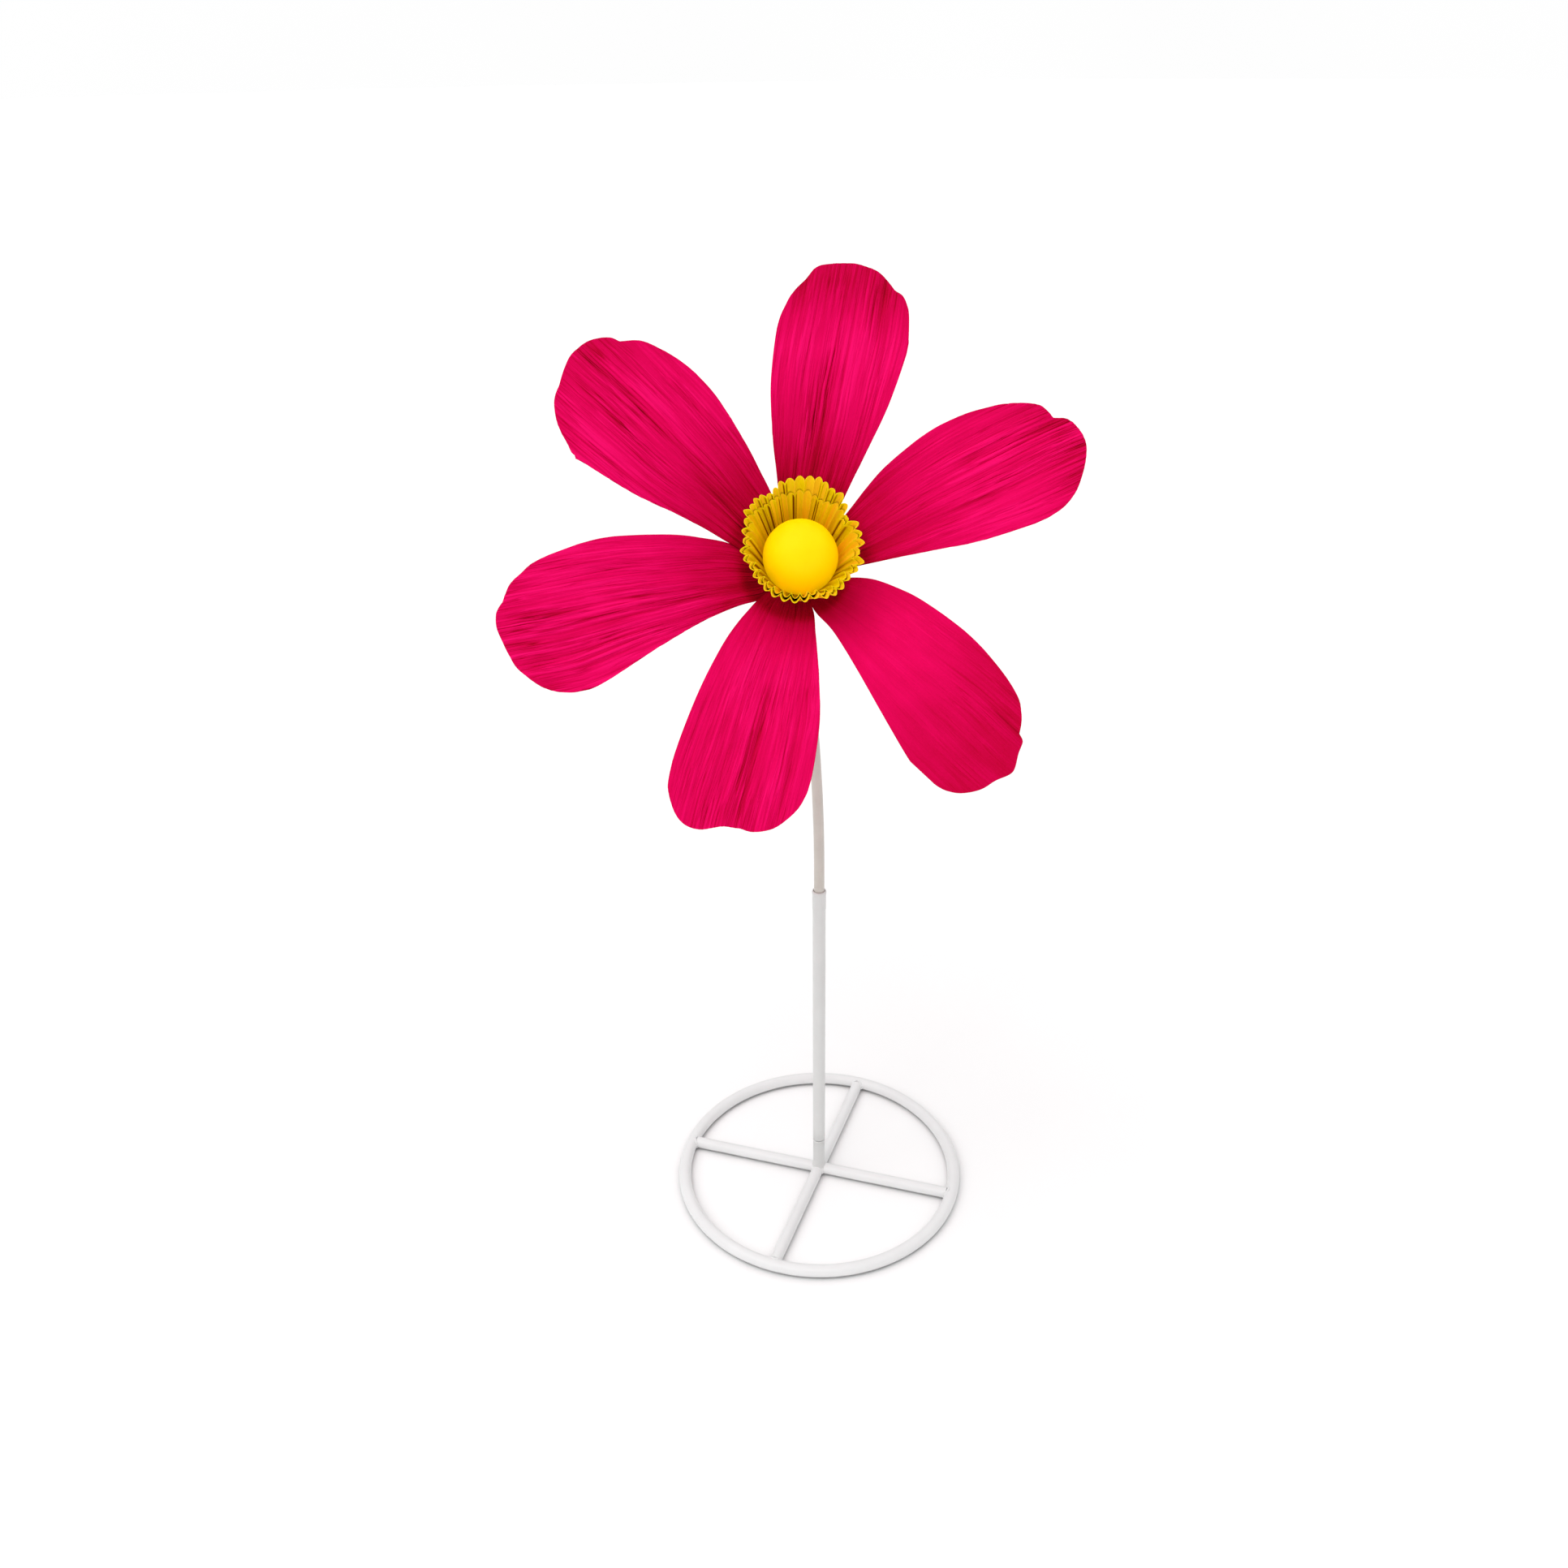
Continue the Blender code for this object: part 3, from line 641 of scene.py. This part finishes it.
def petal_grid(petal):
    """Lengths along and across a petal in mm, for each point of its mesh, and the columns' shares."""
    lobes = petal["lobes"]
    joins = (
        (-1.0, petal["clockwise"], lobes[0][0], lobes[0][1]),
        (1.0, petal["other"], lobes[-1][-1], lobes[-1][-2]),
    )
    sides, limits, last = {}, {}, {}
    for sign, widths, (across, along), (next_across, next_along) in joins:
        kept = [(s, w) for s, w in zip(STATIONS, widths) if s < along - SIDE_CLEARANCE]
        curve = spline([*kept, (along, abs(across))], after=(next_along, abs(next_across)))
        sides[sign] = ([s for s, _ in curve], [w for _, w in curve])
        limits[sign] = abs(float(across))
        last[sign] = (sign * kept[-1][1], kept[-1][0])
    tip = []
    for lobe in lobes:
        before = last[-1.0] if lobe is lobes[0] else None
        after = last[1.0] if lobe is lobes[-1] else None
        tip += spline(lobe, before, after)
    shares = np.array([t / limits[1.0 if t > 0.0 else -1.0] for t, _ in tip]).clip(-1.0, 1.0)
    order = np.argsort(shares, kind="stable")
    lengths = np.array([s for _, s in tip])[order]
    even = np.linspace(-1.0, 1.0, PETAL_COLUMNS + 1)
    share = 0.55 * even + 0.45 * np.sin(np.pi / 2.0 * even)
    ends = np.interp(share, shares[order], lengths)
    rows = np.linspace(0.0, 1.0, PETAL_ROWS + 1) ** 0.92
    along = rows[:, None] * ends[None, :]
    left = np.interp(along, *sides[-1.0])
    right = np.interp(along, *sides[1.0])
    across = share[None, :] * np.where(share[None, :] > 0.0, right, left)
    return along, across, np.broadcast_to(share, along.shape)


def petal_relief(petal, number, along, across, share):
    """How far the paper stands proud in mm, its tone, its crease strength and the line of its creases."""
    noise = Noise(100 + number)
    # creases fan: they follow the side edges, and drift a little
    fanned = 0.45 * across + 0.55 * share * 50.0
    line = fanned + 1.8 * noise(along / 80.0 + 9.0, across / 60.0)
    wide = noise(line / 12.0, along / 190.0 + 3.0)
    medium = noise(line / 4.8 + 31.0, along / 150.0 + 7.0)
    fine = noise(line / 2.3 + 77.0, along / 110.0 + 13.0)
    groove = bump(noise(line / 7.0 + 50.0, along / 210.0 + 40.0), 0.0, 0.075)
    thin = bump(noise(line / 3.4 + 90.0, along / 150.0 + 60.0), 0.0, 0.12)

    centre_across, centre_along = petal["strongest"]
    near = bump(share, centre_across, 1.3) * (0.35 + 0.65 * bump(along / 240.0, centre_along, 0.40))
    patch = 0.85 + 0.7 * noise(along / 70.0 + 5.0, line / 14.0 + 5.0)
    strength = petal["creases"] * near * np.clip(patch, 0.15, 1.5)
    fade = smooth(45.0, 95.0, along)

    creases = 0.32 * medium + 0.62 * fine - 0.34 * groove - 0.42 * thin + 0.20
    swell = 1.1 * wide * (0.4 + 0.6 * petal["creases"])
    roll = 2.2 * noise(along / 120.0 + 60.0, across / 75.0 + 60.0)
    relief = fade * (0.62 * strength * creases + swell + roll)

    blotch = noise(along / 22.0 + 33.0, across / 14.0 + 33.0)
    tone = np.interp(along, TONE_STATIONS, petal["tones"]) - TONE_TRIM
    # painted shade and highlight: the tone rises on the creases' ridges and swells and falls in their hollows;
    # blotch is a random tone
    tone = tone + 0.34 * strength * creases + 0.06 * wide + 0.04 * blotch
    # painted shade and highlight along each fold, with the fold's tone
    for centre, width, start, stop, depth, shade in petal["folds"]:
        ridge = bump(share + 0.04 * noise(along / 50.0 + 70.0, share * 0.0 + 0.5), centre, width)
        ridge = ridge * smooth(start - 20.0, start + 20.0, along)
        ridge = ridge * (1.0 - smooth(stop - 8.0, stop + 12.0, along))
        relief = relief + fade * 0.8 * depth * ridge
        tone = tone + shade * ridge
    # painted shadow of the fringe, all of the way up to start and fading out by stop
    start, stop, shade = petal["painted_fringe_shadow"]
    tone = tone - shade * (1.0 - smooth(start, stop, along))
    return relief, tone, strength, line


def build_petals(flower, material, wire_material):
    cup = Cup()
    for number, petal in enumerate(PETALS, start=1):
        along, across, share = petal_grid(petal)
        layer = -LAYER_SHIFT if number % 2 else LAYER_SHIFT
        base = cup.grid(along, across) + np.array((0.0, 0.0, layer))
        relief, tone, strength, line = petal_relief(petal, number, along, across, share)
        grid = base + grid_normals(base) * relief[:, :, None]
        normals = grid_normals(grid)
        half = PETAL_THICKNESS / 2.0
        rows, columns = along.shape
        points = both_sides(grid, normals, half)
        place = np.array(flower @ Matrix.Rotation(math.radians(petal["turn"]), 4, "Z"))
        name = f"petal_{number}"
        made = add_piece(f"{name}_paper", in_frame(points, place), sheet_faces(rows, columns), material,
                         "magenta_crepe", [name])
        set_values(made, "tone", np.concatenate((tone.ravel(), tone.ravel() - BACK_SHADE)))
        set_values(made, "crease", np.concatenate((strength.ravel(), strength.ravel())))
        flat = np.stack((line.ravel() * MM, along.ravel() * MM + number), axis=1)
        set_uv(made, np.concatenate((flat, flat)))

        # the wire lies along the paper's back, below the deepest crease beside it
        column = PETAL_COLUMNS // 2
        beside = slice(column - 3, column + 4)
        level = relief[:, beside].min(axis=1) - WIRE_DEPTH
        back = base[:, column] + grid_normals(base)[:, column] * level[:, None]
        lengths = np.linspace(0.0, WIRE_LENGTH, 60)
        wire = np.stack([np.interp(lengths, along[:, column], back[:, k]) for k in range(3)], axis=1)
        wire = in_frame(wire, place)
        points = swept_points(wire, [WIRE_RADIUS * MM] * len(wire), 12)
        add_piece(f"petal_wire_{number}_wrap", points, ring_faces(len(wire), 12), wire_material,
                  "wire_paper", [f"petal_wire_{number}"])


# ---------------------------------------------------------------- fringe and ball
def cup_grid(cup):
    """A fluted paper cup: floor and wall. Returns points, tone and flat places."""
    noise = Noise(cup["seed"])
    tips = np.array(OUTER_TIPS, float)
    flutes = len(tips)
    around = flutes * FLUTE_POINTS
    count = np.arange(around) / FLUTE_POINTS
    # the folds lie midway between the tips, and each flute takes the same number of points
    turns = np.concatenate((tips[-1:, 0] - 360.0, tips[:, 0], tips[:1, 0] + 360.0))
    folds = (turns[1:] + turns[:-1]) / 2.0
    degrees = np.interp(count, np.arange(flutes + 1), folds)
    turn = np.radians(degrees)
    width = np.interp(count - 0.5, np.arange(flutes), np.diff(folds) / 9.0, period=flutes)
    reach_rim = np.interp(count - 0.5, np.arange(flutes), tips[:, 1], period=flutes)
    # each flute bulges outwards in a round scallop, and the folds between them are sharp
    wave = 2.0 * np.abs(np.sin(np.pi * count)) ** 0.8 - 1.0
    depth = np.clip(width, 0.45, 1.25)
    part = count - np.floor(count)
    panel = noise(np.floor(count) * 3.7, count * 0.0 + 4.5)

    def near(place, spread):
        return bump((degrees - place + 180.0) % 360.0 - 180.0, 0.0, spread)

    rim = cup["rim"] + cup["ragged"] * (noise(count * 0.45 + 12.0, turn * 0.0 + 7.5) + 0.6 * panel)
    rim = rim - sum(drop * near(place, spread) for place, spread, drop in cup["dips"])
    lean = sum(amount * near(place, spread) for place, spread, amount in cup["leans"])
    # painted shade: a dark band is painted beside each fold, strong at some folds and faint at others, so the
    # flutes read as panels of uneven width, and a painted highlight runs along each fold
    fold_shade_strength = np.clip(0.95 + 2.6 * noise(np.round(count) % flutes * 2.3, count * 0.0 + 9.5), 0.12, 1.9)
    shadow = fold_shade_strength * (bump(part, 0.14, 0.11) + 0.8 * bump(part, 0.87, 0.10))
    crest_highlight = bump(part, 0.0, 0.05) + bump(part, 1.0, 0.05)

    rows_floor = 6
    points, tone, flat = [], [], []
    for row in range(rows_floor):
        radius = 2.0 + (WALL["floor_radius"] - cup["inset"] - 3.0) * row / rows_floor
        level = np.full_like(turn, cup["floor"])
        points.append(np.stack((radius * np.cos(turn), radius * np.sin(turn), level), 1))
        # painted shade: the cup's floor, under the ball, is drawn dark
        tone.append(np.full_like(turn, 0.2))
        flat.append(np.stack((turn * radius, np.full_like(turn, radius)), 1))
    for row in range(CUP_ROWS + 1):
        f = row / CUP_ROWS
        level = cup["floor"] + (rim - cup["floor"]) * f
        up = (level - WALL["floor"]) / (WALL["rim"] - WALL["floor"])
        swing = (WALL["root_wave"] + (WALL["rim_wave"] - WALL["root_wave"]) * up) * depth
        opened = 0.88 * up + 0.12 * up**3
        reach = WALL["floor_radius"] + (reach_rim - WALL["rim_wave"] * depth - WALL["floor_radius"]) * opened
        reach = reach + swing * wave - cup["inset"] - lean * up**2
        points.append(np.stack((reach * np.cos(turn), reach * np.sin(turn), level), 1))
        # painted highlight: the rim's top is drawn bright orange, for light through the thin edge; deep_shade
        # deepens the painted fold shade towards the ball
        edge = smooth(0.955, 0.985, f)
        deep_shade = 1.0 - smooth(0.15, 0.80, up)
        streak = noise(count * 5.3, up * 2.0 + cup["seed"])
        shade = 0.98 - (0.58 + 0.16 * deep_shade) * shadow
        shade = shade + 0.08 * crest_highlight + 0.34 * panel + 0.16 * streak
        tone.append(shade * (1.0 - edge) + (0.97 - 0.10 * shadow) * edge)
        flat.append(np.stack((turn * 45.0, 30.0 + 60.0 * up), 1))
    return np.stack(points), np.stack(tone), np.stack(flat)


def build_fringe(flower, material):
    place = np.array(flower)
    for name, cup in (("fringe_outer", OUTER_CUP), ("fringe_inner", INNER_CUP)):
        grid, tone, flat = cup_grid(cup)
        rows, columns = tone.shape
        along = np.gradient(grid, axis=0)
        across = np.roll(grid, -1, axis=1) - np.roll(grid, 1, axis=1)
        normals = np.cross(along, across)
        normals /= np.maximum(np.linalg.norm(normals, axis=2, keepdims=True), 1e-12)
        points = in_frame(both_sides(grid, normals, PAPER_HALF), place)
        made = add_piece(f"{name}_paper", points, sheet_faces(rows, columns, wrap=True), material,
                         "amber_paper", [name])
        set_values(made, "tone", np.concatenate((tone.ravel(), 0.9 * tone.ravel())))
        flat = flat.reshape(-1, 2) * MM
        set_uv(made, np.concatenate((flat, flat)))


def build_ball(flower, material):
    low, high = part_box("centre_ball")
    centre = (low + high) / 2.0 + flower.to_3x3() @ Vector((0.0, -BALL_SAG, 0.0))
    radius = BALL_RADIUS
    noise = Noise(3)
    rings, sides = 64, 96
    points = []
    for ring in range(1, rings):
        fall = math.pi * ring / rings
        for k in range(sides):
            turn = 2.0 * math.pi * k / sides
            points.append((math.sin(fall) * math.cos(turn), math.sin(fall) * math.sin(turn), math.cos(fall)))
    points = np.array(points)
    dents = noise(points[:, 0] * 2.1 + 8.0, points[:, 1] * 2.1 + points[:, 2] * 1.7 + 8.0)
    points = points * (radius + 0.12 * MM * dents)[:, None]
    points = np.concatenate((points, np.array([(0.0, 0.0, radius), (0.0, 0.0, -radius)])))
    turn = np.array(flower.to_3x3())
    points = points @ turn.T + np.array(centre)
    faces = [tuple(reversed(f)) for f in ring_faces(rings - 1, sides, capped=False)]
    top, bottom = len(points) - 2, len(points) - 1
    last = (rings - 2) * sides
    for k in range(sides):
        m = (k + 1) % sides
        faces.append((top, k, m))
        faces.append((bottom, last + m, last + k))
    add_piece("centre_ball_foam", points, faces, material, "yellow_ball", ["centre_ball"], 180.0)


# ---------------------------------------------------------------- stand
def build_stand(material):
    tube, bar = RING_TUBE, BAR_RADIUS
    ring_radius = RING_OUTSIDE - tube
    steps, sides = 220, 28
    points = []
    for i in range(steps):
        turn = 2.0 * math.pi * i / steps
        for k in range(sides):
            a = 2.0 * math.pi * k / sides
            reach = ring_radius + tube * math.cos(a)
            points.append((reach * math.cos(turn), reach * math.sin(turn), tube + tube * math.sin(a)))
    faces = [tuple(reversed(f)) for f in ring_faces(steps, sides, closed=True)]
    add_piece("base_ring_tube", points, faces, material, "white_enamel", ["base_ring"], 180.0)

    # the bars run a little way into the ring's tube, and the short ones start inside the long one
    reach = ring_radius - tube + 1.2 * MM
    along = Vector((math.cos(LONG_BAR_TURN), math.sin(LONG_BAR_TURN), 0.0))
    across = Vector((math.cos(SHORT_BAR_TURN), math.sin(SHORT_BAR_TURN), 0.0))
    level = Vector((0.0, 0.0, bar))
    runs = (
        ("cross_bar_long", level - along * reach, level + along * reach),
        ("cross_bar_front", level - across * 3.0 * MM, level - across * reach),
        ("cross_bar_back", level + across * 3.0 * MM, level + across * reach),
    )
    for name, start, stop in runs:
        path = [start + (stop - start) * f / 24.0 for f in range(25)]
        points = swept_points(path, [bar] * len(path), 28)
        add_piece(f"{name}_tube", points, ring_faces(len(path), 28), material, "white_enamel", [name])

    for number, direction in enumerate((-along, along, -across, across), start=1):
        weld = end_weld(direction, ring_radius, tube, bar, number)
        add_piece(f"ring_weld_{number}", *weld, material, "white_enamel", [])
    for number, side in enumerate((-1.0, 1.0), start=1):
        weld = crossing_weld(along, across * side, bar, number)
        add_piece(f"crossing_weld_{number}", *weld, material, "white_enamel", [])


def bead(path, radius, number):
    """A closed weld bead with the ripples of its passes."""
    count = len(path)
    noise = Noise(40 + number)
    k = np.arange(count)
    swell = 1.0 + 0.16 * np.sin(k * 2.0 * np.pi * 14 / count) + 0.15 * noise(k * 0.21, k * 0.0 + number)
    sides = 10
    points = []
    for i in range(count):
        point, after, before = Vector(path[i]), Vector(path[(i + 1) % count]), Vector(path[i - 1])
        ahead = (after - before).normalized()
        side = ahead.cross(Vector((0.31, 0.17, 0.93))).normalized()
        up = ahead.cross(side)
        for j in range(sides):
            turn = 2.0 * math.pi * j / sides
            points.append(point + radius * float(swell[i]) * (side * math.cos(turn) + up * math.sin(turn)))
    return points, ring_faces(count, sides, closed=True)


def end_weld(direction, ring_radius, tube, bar, number):
    """The weld where a bar meets the ring."""
    side = Vector((-direction.y, direction.x, 0.0))
    path = []
    for i in range(72):
        a = 2.0 * math.pi * i / 72
        across, height = bar * math.cos(a), bar + bar * math.sin(a)
        width = math.sqrt(max(tube * tube - (height - tube) ** 2, 0.0))
        reach = math.sqrt((ring_radius - width) ** 2 - across**2)
        level = Vector((0.0, 0.0, max(height, 1.6 * MM)))
        path.append(direction * (reach + 0.1 * MM) + side * across + level)
    return bead(path, END_WELD, number)


def crossing_weld(along, across, bar, number):
    """The weld where a short bar meets the long one."""
    path = []
    for i in range(72):
        a = 2.0 * math.pi * i / 72
        offset, height = bar * math.cos(a), bar + bar * math.sin(a)
        width = math.sqrt(max(bar * bar - (height - bar) ** 2, 0.0))
        path.append(across * (width + 0.2 * MM) + along * offset + Vector((0.0, 0.0, max(height, 1.5 * MM))))
    return bead(path, CROSSING_WELD, number)


def build_post(material):
    low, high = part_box("lower_post")
    foot, top = low.z, high.z
    axis = middle("lower_post")
    outside, inside, bell, lip = POST_OUTSIDE, POST_INSIDE, POST_BELL, POST_LIP
    profile = [
        (outside - 0.9 * MM, foot),
        (outside - 0.35 * MM, foot + 0.5 * MM),
        (outside, foot + 0.9 * MM),
    ]
    bell_foot = top - POST_BELL_LENGTH
    profile += [(outside, foot + (bell_foot - foot) * f / 20.0) for f in range(1, 20)]
    profile += [
        (outside, bell_foot - 0.5 * MM),
        (bell - 0.05 * MM, bell_foot + 0.25 * MM),
        (bell, bell_foot + 0.8 * MM),
        (bell, top - 4.6 * MM),
        (lip - 0.08 * MM, top - 4.1 * MM),
        (lip, top - 3.6 * MM),
        (lip, top - 1.0 * MM),
        (lip - 0.25 * MM, top - 0.35 * MM),
        (lip - 0.8 * MM, top),
        (inside + 0.2 * MM, top),
        (inside, top - 0.3 * MM),
        (inside, foot),
    ]
    points, faces = turned(profile, axis, 56)
    add_piece("lower_post_tube", points, faces, material, "white_enamel", ["lower_post"])

    low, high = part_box("base_socket")
    foot, top = low.z, high.z
    radius = SOCKET_RADIUS
    profile = [
        (radius + 1.6 * MM, foot - 2.0 * MM),
        (radius + 0.9 * MM, foot - 0.4 * MM),
        (radius + 0.3 * MM, foot + 0.9 * MM),
        (radius, foot + 2.2 * MM),
        (radius, top - 1.6 * MM),
        (radius + 0.3 * MM, top - 1.2 * MM),
        (radius + 0.3 * MM, top - 0.9 * MM),
        (radius - 0.35 * MM, top - 0.1 * MM),
        (radius - 0.9 * MM, top),
        (inside, top),
        (inside, foot - 2.0 * MM),
    ]
    points, faces = turned(profile, axis, 56)
    add_piece("base_socket_tube", points, faces, material, "white_enamel", ["base_socket"])


def build_stem(flower, material):
    low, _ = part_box("upper_stem")
    look = (flower.to_3x3() @ Vector((0.0, 0.0, 1.0))).normalized()
    hub = flower.translation

    def leaning(height):
        lean = STEM_LEAN * max(0.0, height - LEAN_START) ** 2
        return Vector((-lean, 0.0, height))

    heights = np.linspace(low.z, BEND_START, 90)
    path = [leaning(float(z)) for z in heights]
    start, before = path[-1], path[-2]
    end = hub + look * 1.2 * MM
    first = start + (start - before).normalized() * BEND_HANDLE
    second = end - look * BEND_HANDLE
    for step in range(1, 41):
        f = step / 40.0
        near, far = start * (1 - f) ** 3 + first * 3 * f * (1 - f) ** 2, second * 3 * f * f * (1 - f)
        path.append(near + far + end * f**3)
    points = swept_points(path, [STEM_RADIUS] * len(path), 40)
    add_piece("upper_stem_tube", points, ring_faces(len(path), 40), material, "stem_white", ["upper_stem"])


def build_card(flower, material):
    place = np.array(flower)
    steps = 96
    noise = Noise(70)
    profile = (
        (5.4, -5.5), (25.4, -5.5), (25.9, -5.2), (26.0, -4.3), (25.9, -3.4), (25.4, -3.1), (5.4, -3.1),
    )
    points = []
    for radius, height in profile:
        for k in range(steps):
            turn = 2.0 * math.pi * k / steps
            # the outer edge is a little uneven, and the hole's edge is true
            cut = 0.25 * float(noise(np.array(turn * 4.0), np.array(2.5))) if radius > 20.0 else 0.0
            reach = radius + cut
            points.append((reach * math.cos(turn), reach * math.sin(turn), height))
    points = in_frame(np.array(points), place)
    made = add_piece("hub_card_disc", points, ring_faces(len(profile), steps, closed=True), material,
                     "magenta_card", ["hub_card"])
    set_values(made, "tone", np.full(len(points), 0.35))
    set_uv(made, np.zeros((len(points), 2)) + points[:, :2] * 0.1)


# ---------------------------------------------------------------- stage
def build_stage():
    reach, steps = 30.0, 2
    points, faces = [], []
    for i in range(steps + 1):
        for j in range(steps + 1):
            points.append((reach * (2.0 * j / steps - 1.0), reach * (2.0 * i / steps - 1.0), 0.0))
    for i in range(steps):
        for j in range(steps):
            a = i * (steps + 1) + j
            faces.append((a, a + 1, a + steps + 2, a + steps + 1))
    mesh = bpy.data.meshes.new("floor")
    mesh.from_pydata(points, [], faces)
    mesh.materials.append(floor_material())
    floor = bpy.data.objects.new("floor", mesh)
    bpy.context.scene.collection.objects.link(floor)

    # a white wall all round, seen by the camera only, so that it hides the horizon and lights nothing
    steps, radius, height = 96, 28.0, 60.0
    rim = [(radius * math.cos(2.0 * math.pi * k / steps), radius * math.sin(2.0 * math.pi * k / steps))
           for k in range(steps)]
    mesh = bpy.data.meshes.new("backdrop")
    mesh.from_pydata([(x, y, z) for z in (-0.5, height) for x, y in rim], [],
                     [(k, (k + 1) % steps, steps + (k + 1) % steps, steps + k) for k in range(steps)])
    mesh.materials.append(backdrop_material())
    backdrop = bpy.data.objects.new("backdrop", mesh)
    bpy.context.scene.collection.objects.link(backdrop)
    backdrop.visible_diffuse = False
    backdrop.visible_glossy = False
    backdrop.visible_transmission = False
    backdrop.visible_shadow = False

    world = bpy.data.worlds.new("studio")
    bpy.context.scene.world = world
    world.use_nodes = True
    tree = world.node_tree
    sky = tree.nodes["Background"]
    sky.inputs["Strength"].default_value = SKY_STRENGTH
    split = tree.nodes.new("ShaderNodeSeparateXYZ")
    ramp = tree.nodes.new("ShaderNodeValToRGB")
    ramp.color_ramp.elements[0].color = (SKY_LOW, SKY_LOW, SKY_LOW, 1.0)
    ramp.color_ramp.elements[1].color = (1.0, 1.0, 1.0, 1.0)
    tree.links.new(tree.nodes.new("ShaderNodeTexCoord").outputs["Generated"], split.inputs["Vector"])
    tree.links.new(split.outputs["Z"], ramp.inputs["Fac"])
    tree.links.new(ramp.outputs["Color"], sky.inputs["Color"])

    data = bpy.data.lights.new("sun", "SUN")
    data.energy = SUN_STRENGTH
    data.angle = SUN_SPREAD
    sun = bpy.data.objects.new("sun", data)
    bpy.context.scene.collection.objects.link(sun)
    sun.rotation_euler = (-SUN_FROM).to_track_quat("-Z", "Y").to_euler()


def build_camera():
    data = bpy.data.cameras.new("camera")
    data.lens = LENS
    data.sensor_width = 36.0
    data.shift_y = SHIFT_Y
    data.clip_start = 0.01
    data.clip_end = 200.0
    made = bpy.data.objects.new("camera", data)
    bpy.context.scene.collection.objects.link(made)
    ahead = Vector((0.0, math.cos(CAMERA_PITCH), -math.sin(CAMERA_PITCH)))
    right = Vector((1.0, 0.0, 0.0))
    down = ahead.cross(right)
    rolled_right = right * math.cos(CAMERA_ROLL) + down * math.sin(CAMERA_ROLL)
    rolled_down = down * math.cos(CAMERA_ROLL) - right * math.sin(CAMERA_ROLL)
    turn = Matrix((rolled_right, -rolled_down, -ahead)).transposed().to_4x4()
    made.matrix_world = Matrix.Translation(CAMERA_PLACE) @ turn
    bpy.context.scene.camera = made


MAGENTA_STOPS = (
    (0.00, linear(96, 0, 10)),
    (0.20, linear(154, 0, 28)),
    (0.40, linear(189, 0, 50)),
    (0.60, linear(213, 1, 75)),
    (0.80, linear(231, 3, 90)),
    (1.00, linear(246, 12, 106)),
)
AMBER_STOPS = (
    (0.00, linear(116, 70, 0)),
    (0.25, linear(186, 140, 0)),
    (0.50, linear(222, 196, 0)),
    (0.80, linear(240, 218, 4)),
    (1.00, linear(252, 206, 34)),
)
WHITE = enamel_material("white_coat", (0.82, 0.82, 0.82), (0.79, 0.79, 0.79), contact_shade=1.6)
# painted shade: the post and socket take a darker copy of the white coat, standing in for the shade on the
# upright post
POST = enamel_material("post_coat", (0.70, 0.70, 0.69), (0.66, 0.66, 0.65))
STEM = enamel_material("stem_coat", (0.63, 0.59, 0.54), (0.57, 0.53, 0.48))
MAGENTA = crepe_material("magenta_crepe_paper", MAGENTA_STOPS, 0.16)
CARD = crepe_material("magenta_card_board", MAGENTA_STOPS, 0.10, lined=False)
WIRE_PAPER = enamel_material("wire_wrap", (0.42, 0.0, 0.06), (0.30, 0.0, 0.04))
AMBER = crepe_material("amber_fluted_paper", AMBER_STOPS, 0.10, lined=False)

FLOWER = flower_matrix()
build_camera()
build_stage()
build_stand(WHITE)
build_post(POST)
build_stem(FLOWER, STEM)
build_card(FLOWER, CARD)
build_petals(FLOWER, MAGENTA, WIRE_PAPER)
build_fringe(FLOWER, AMBER)
build_ball(FLOWER, ball_material())
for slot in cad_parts["joint_spigot"].material_slots:
    slot.material = steel_material()

bpy.context.scene.view_settings.view_transform = "Standard"
bpy.context.scene.view_settings.look = "None"
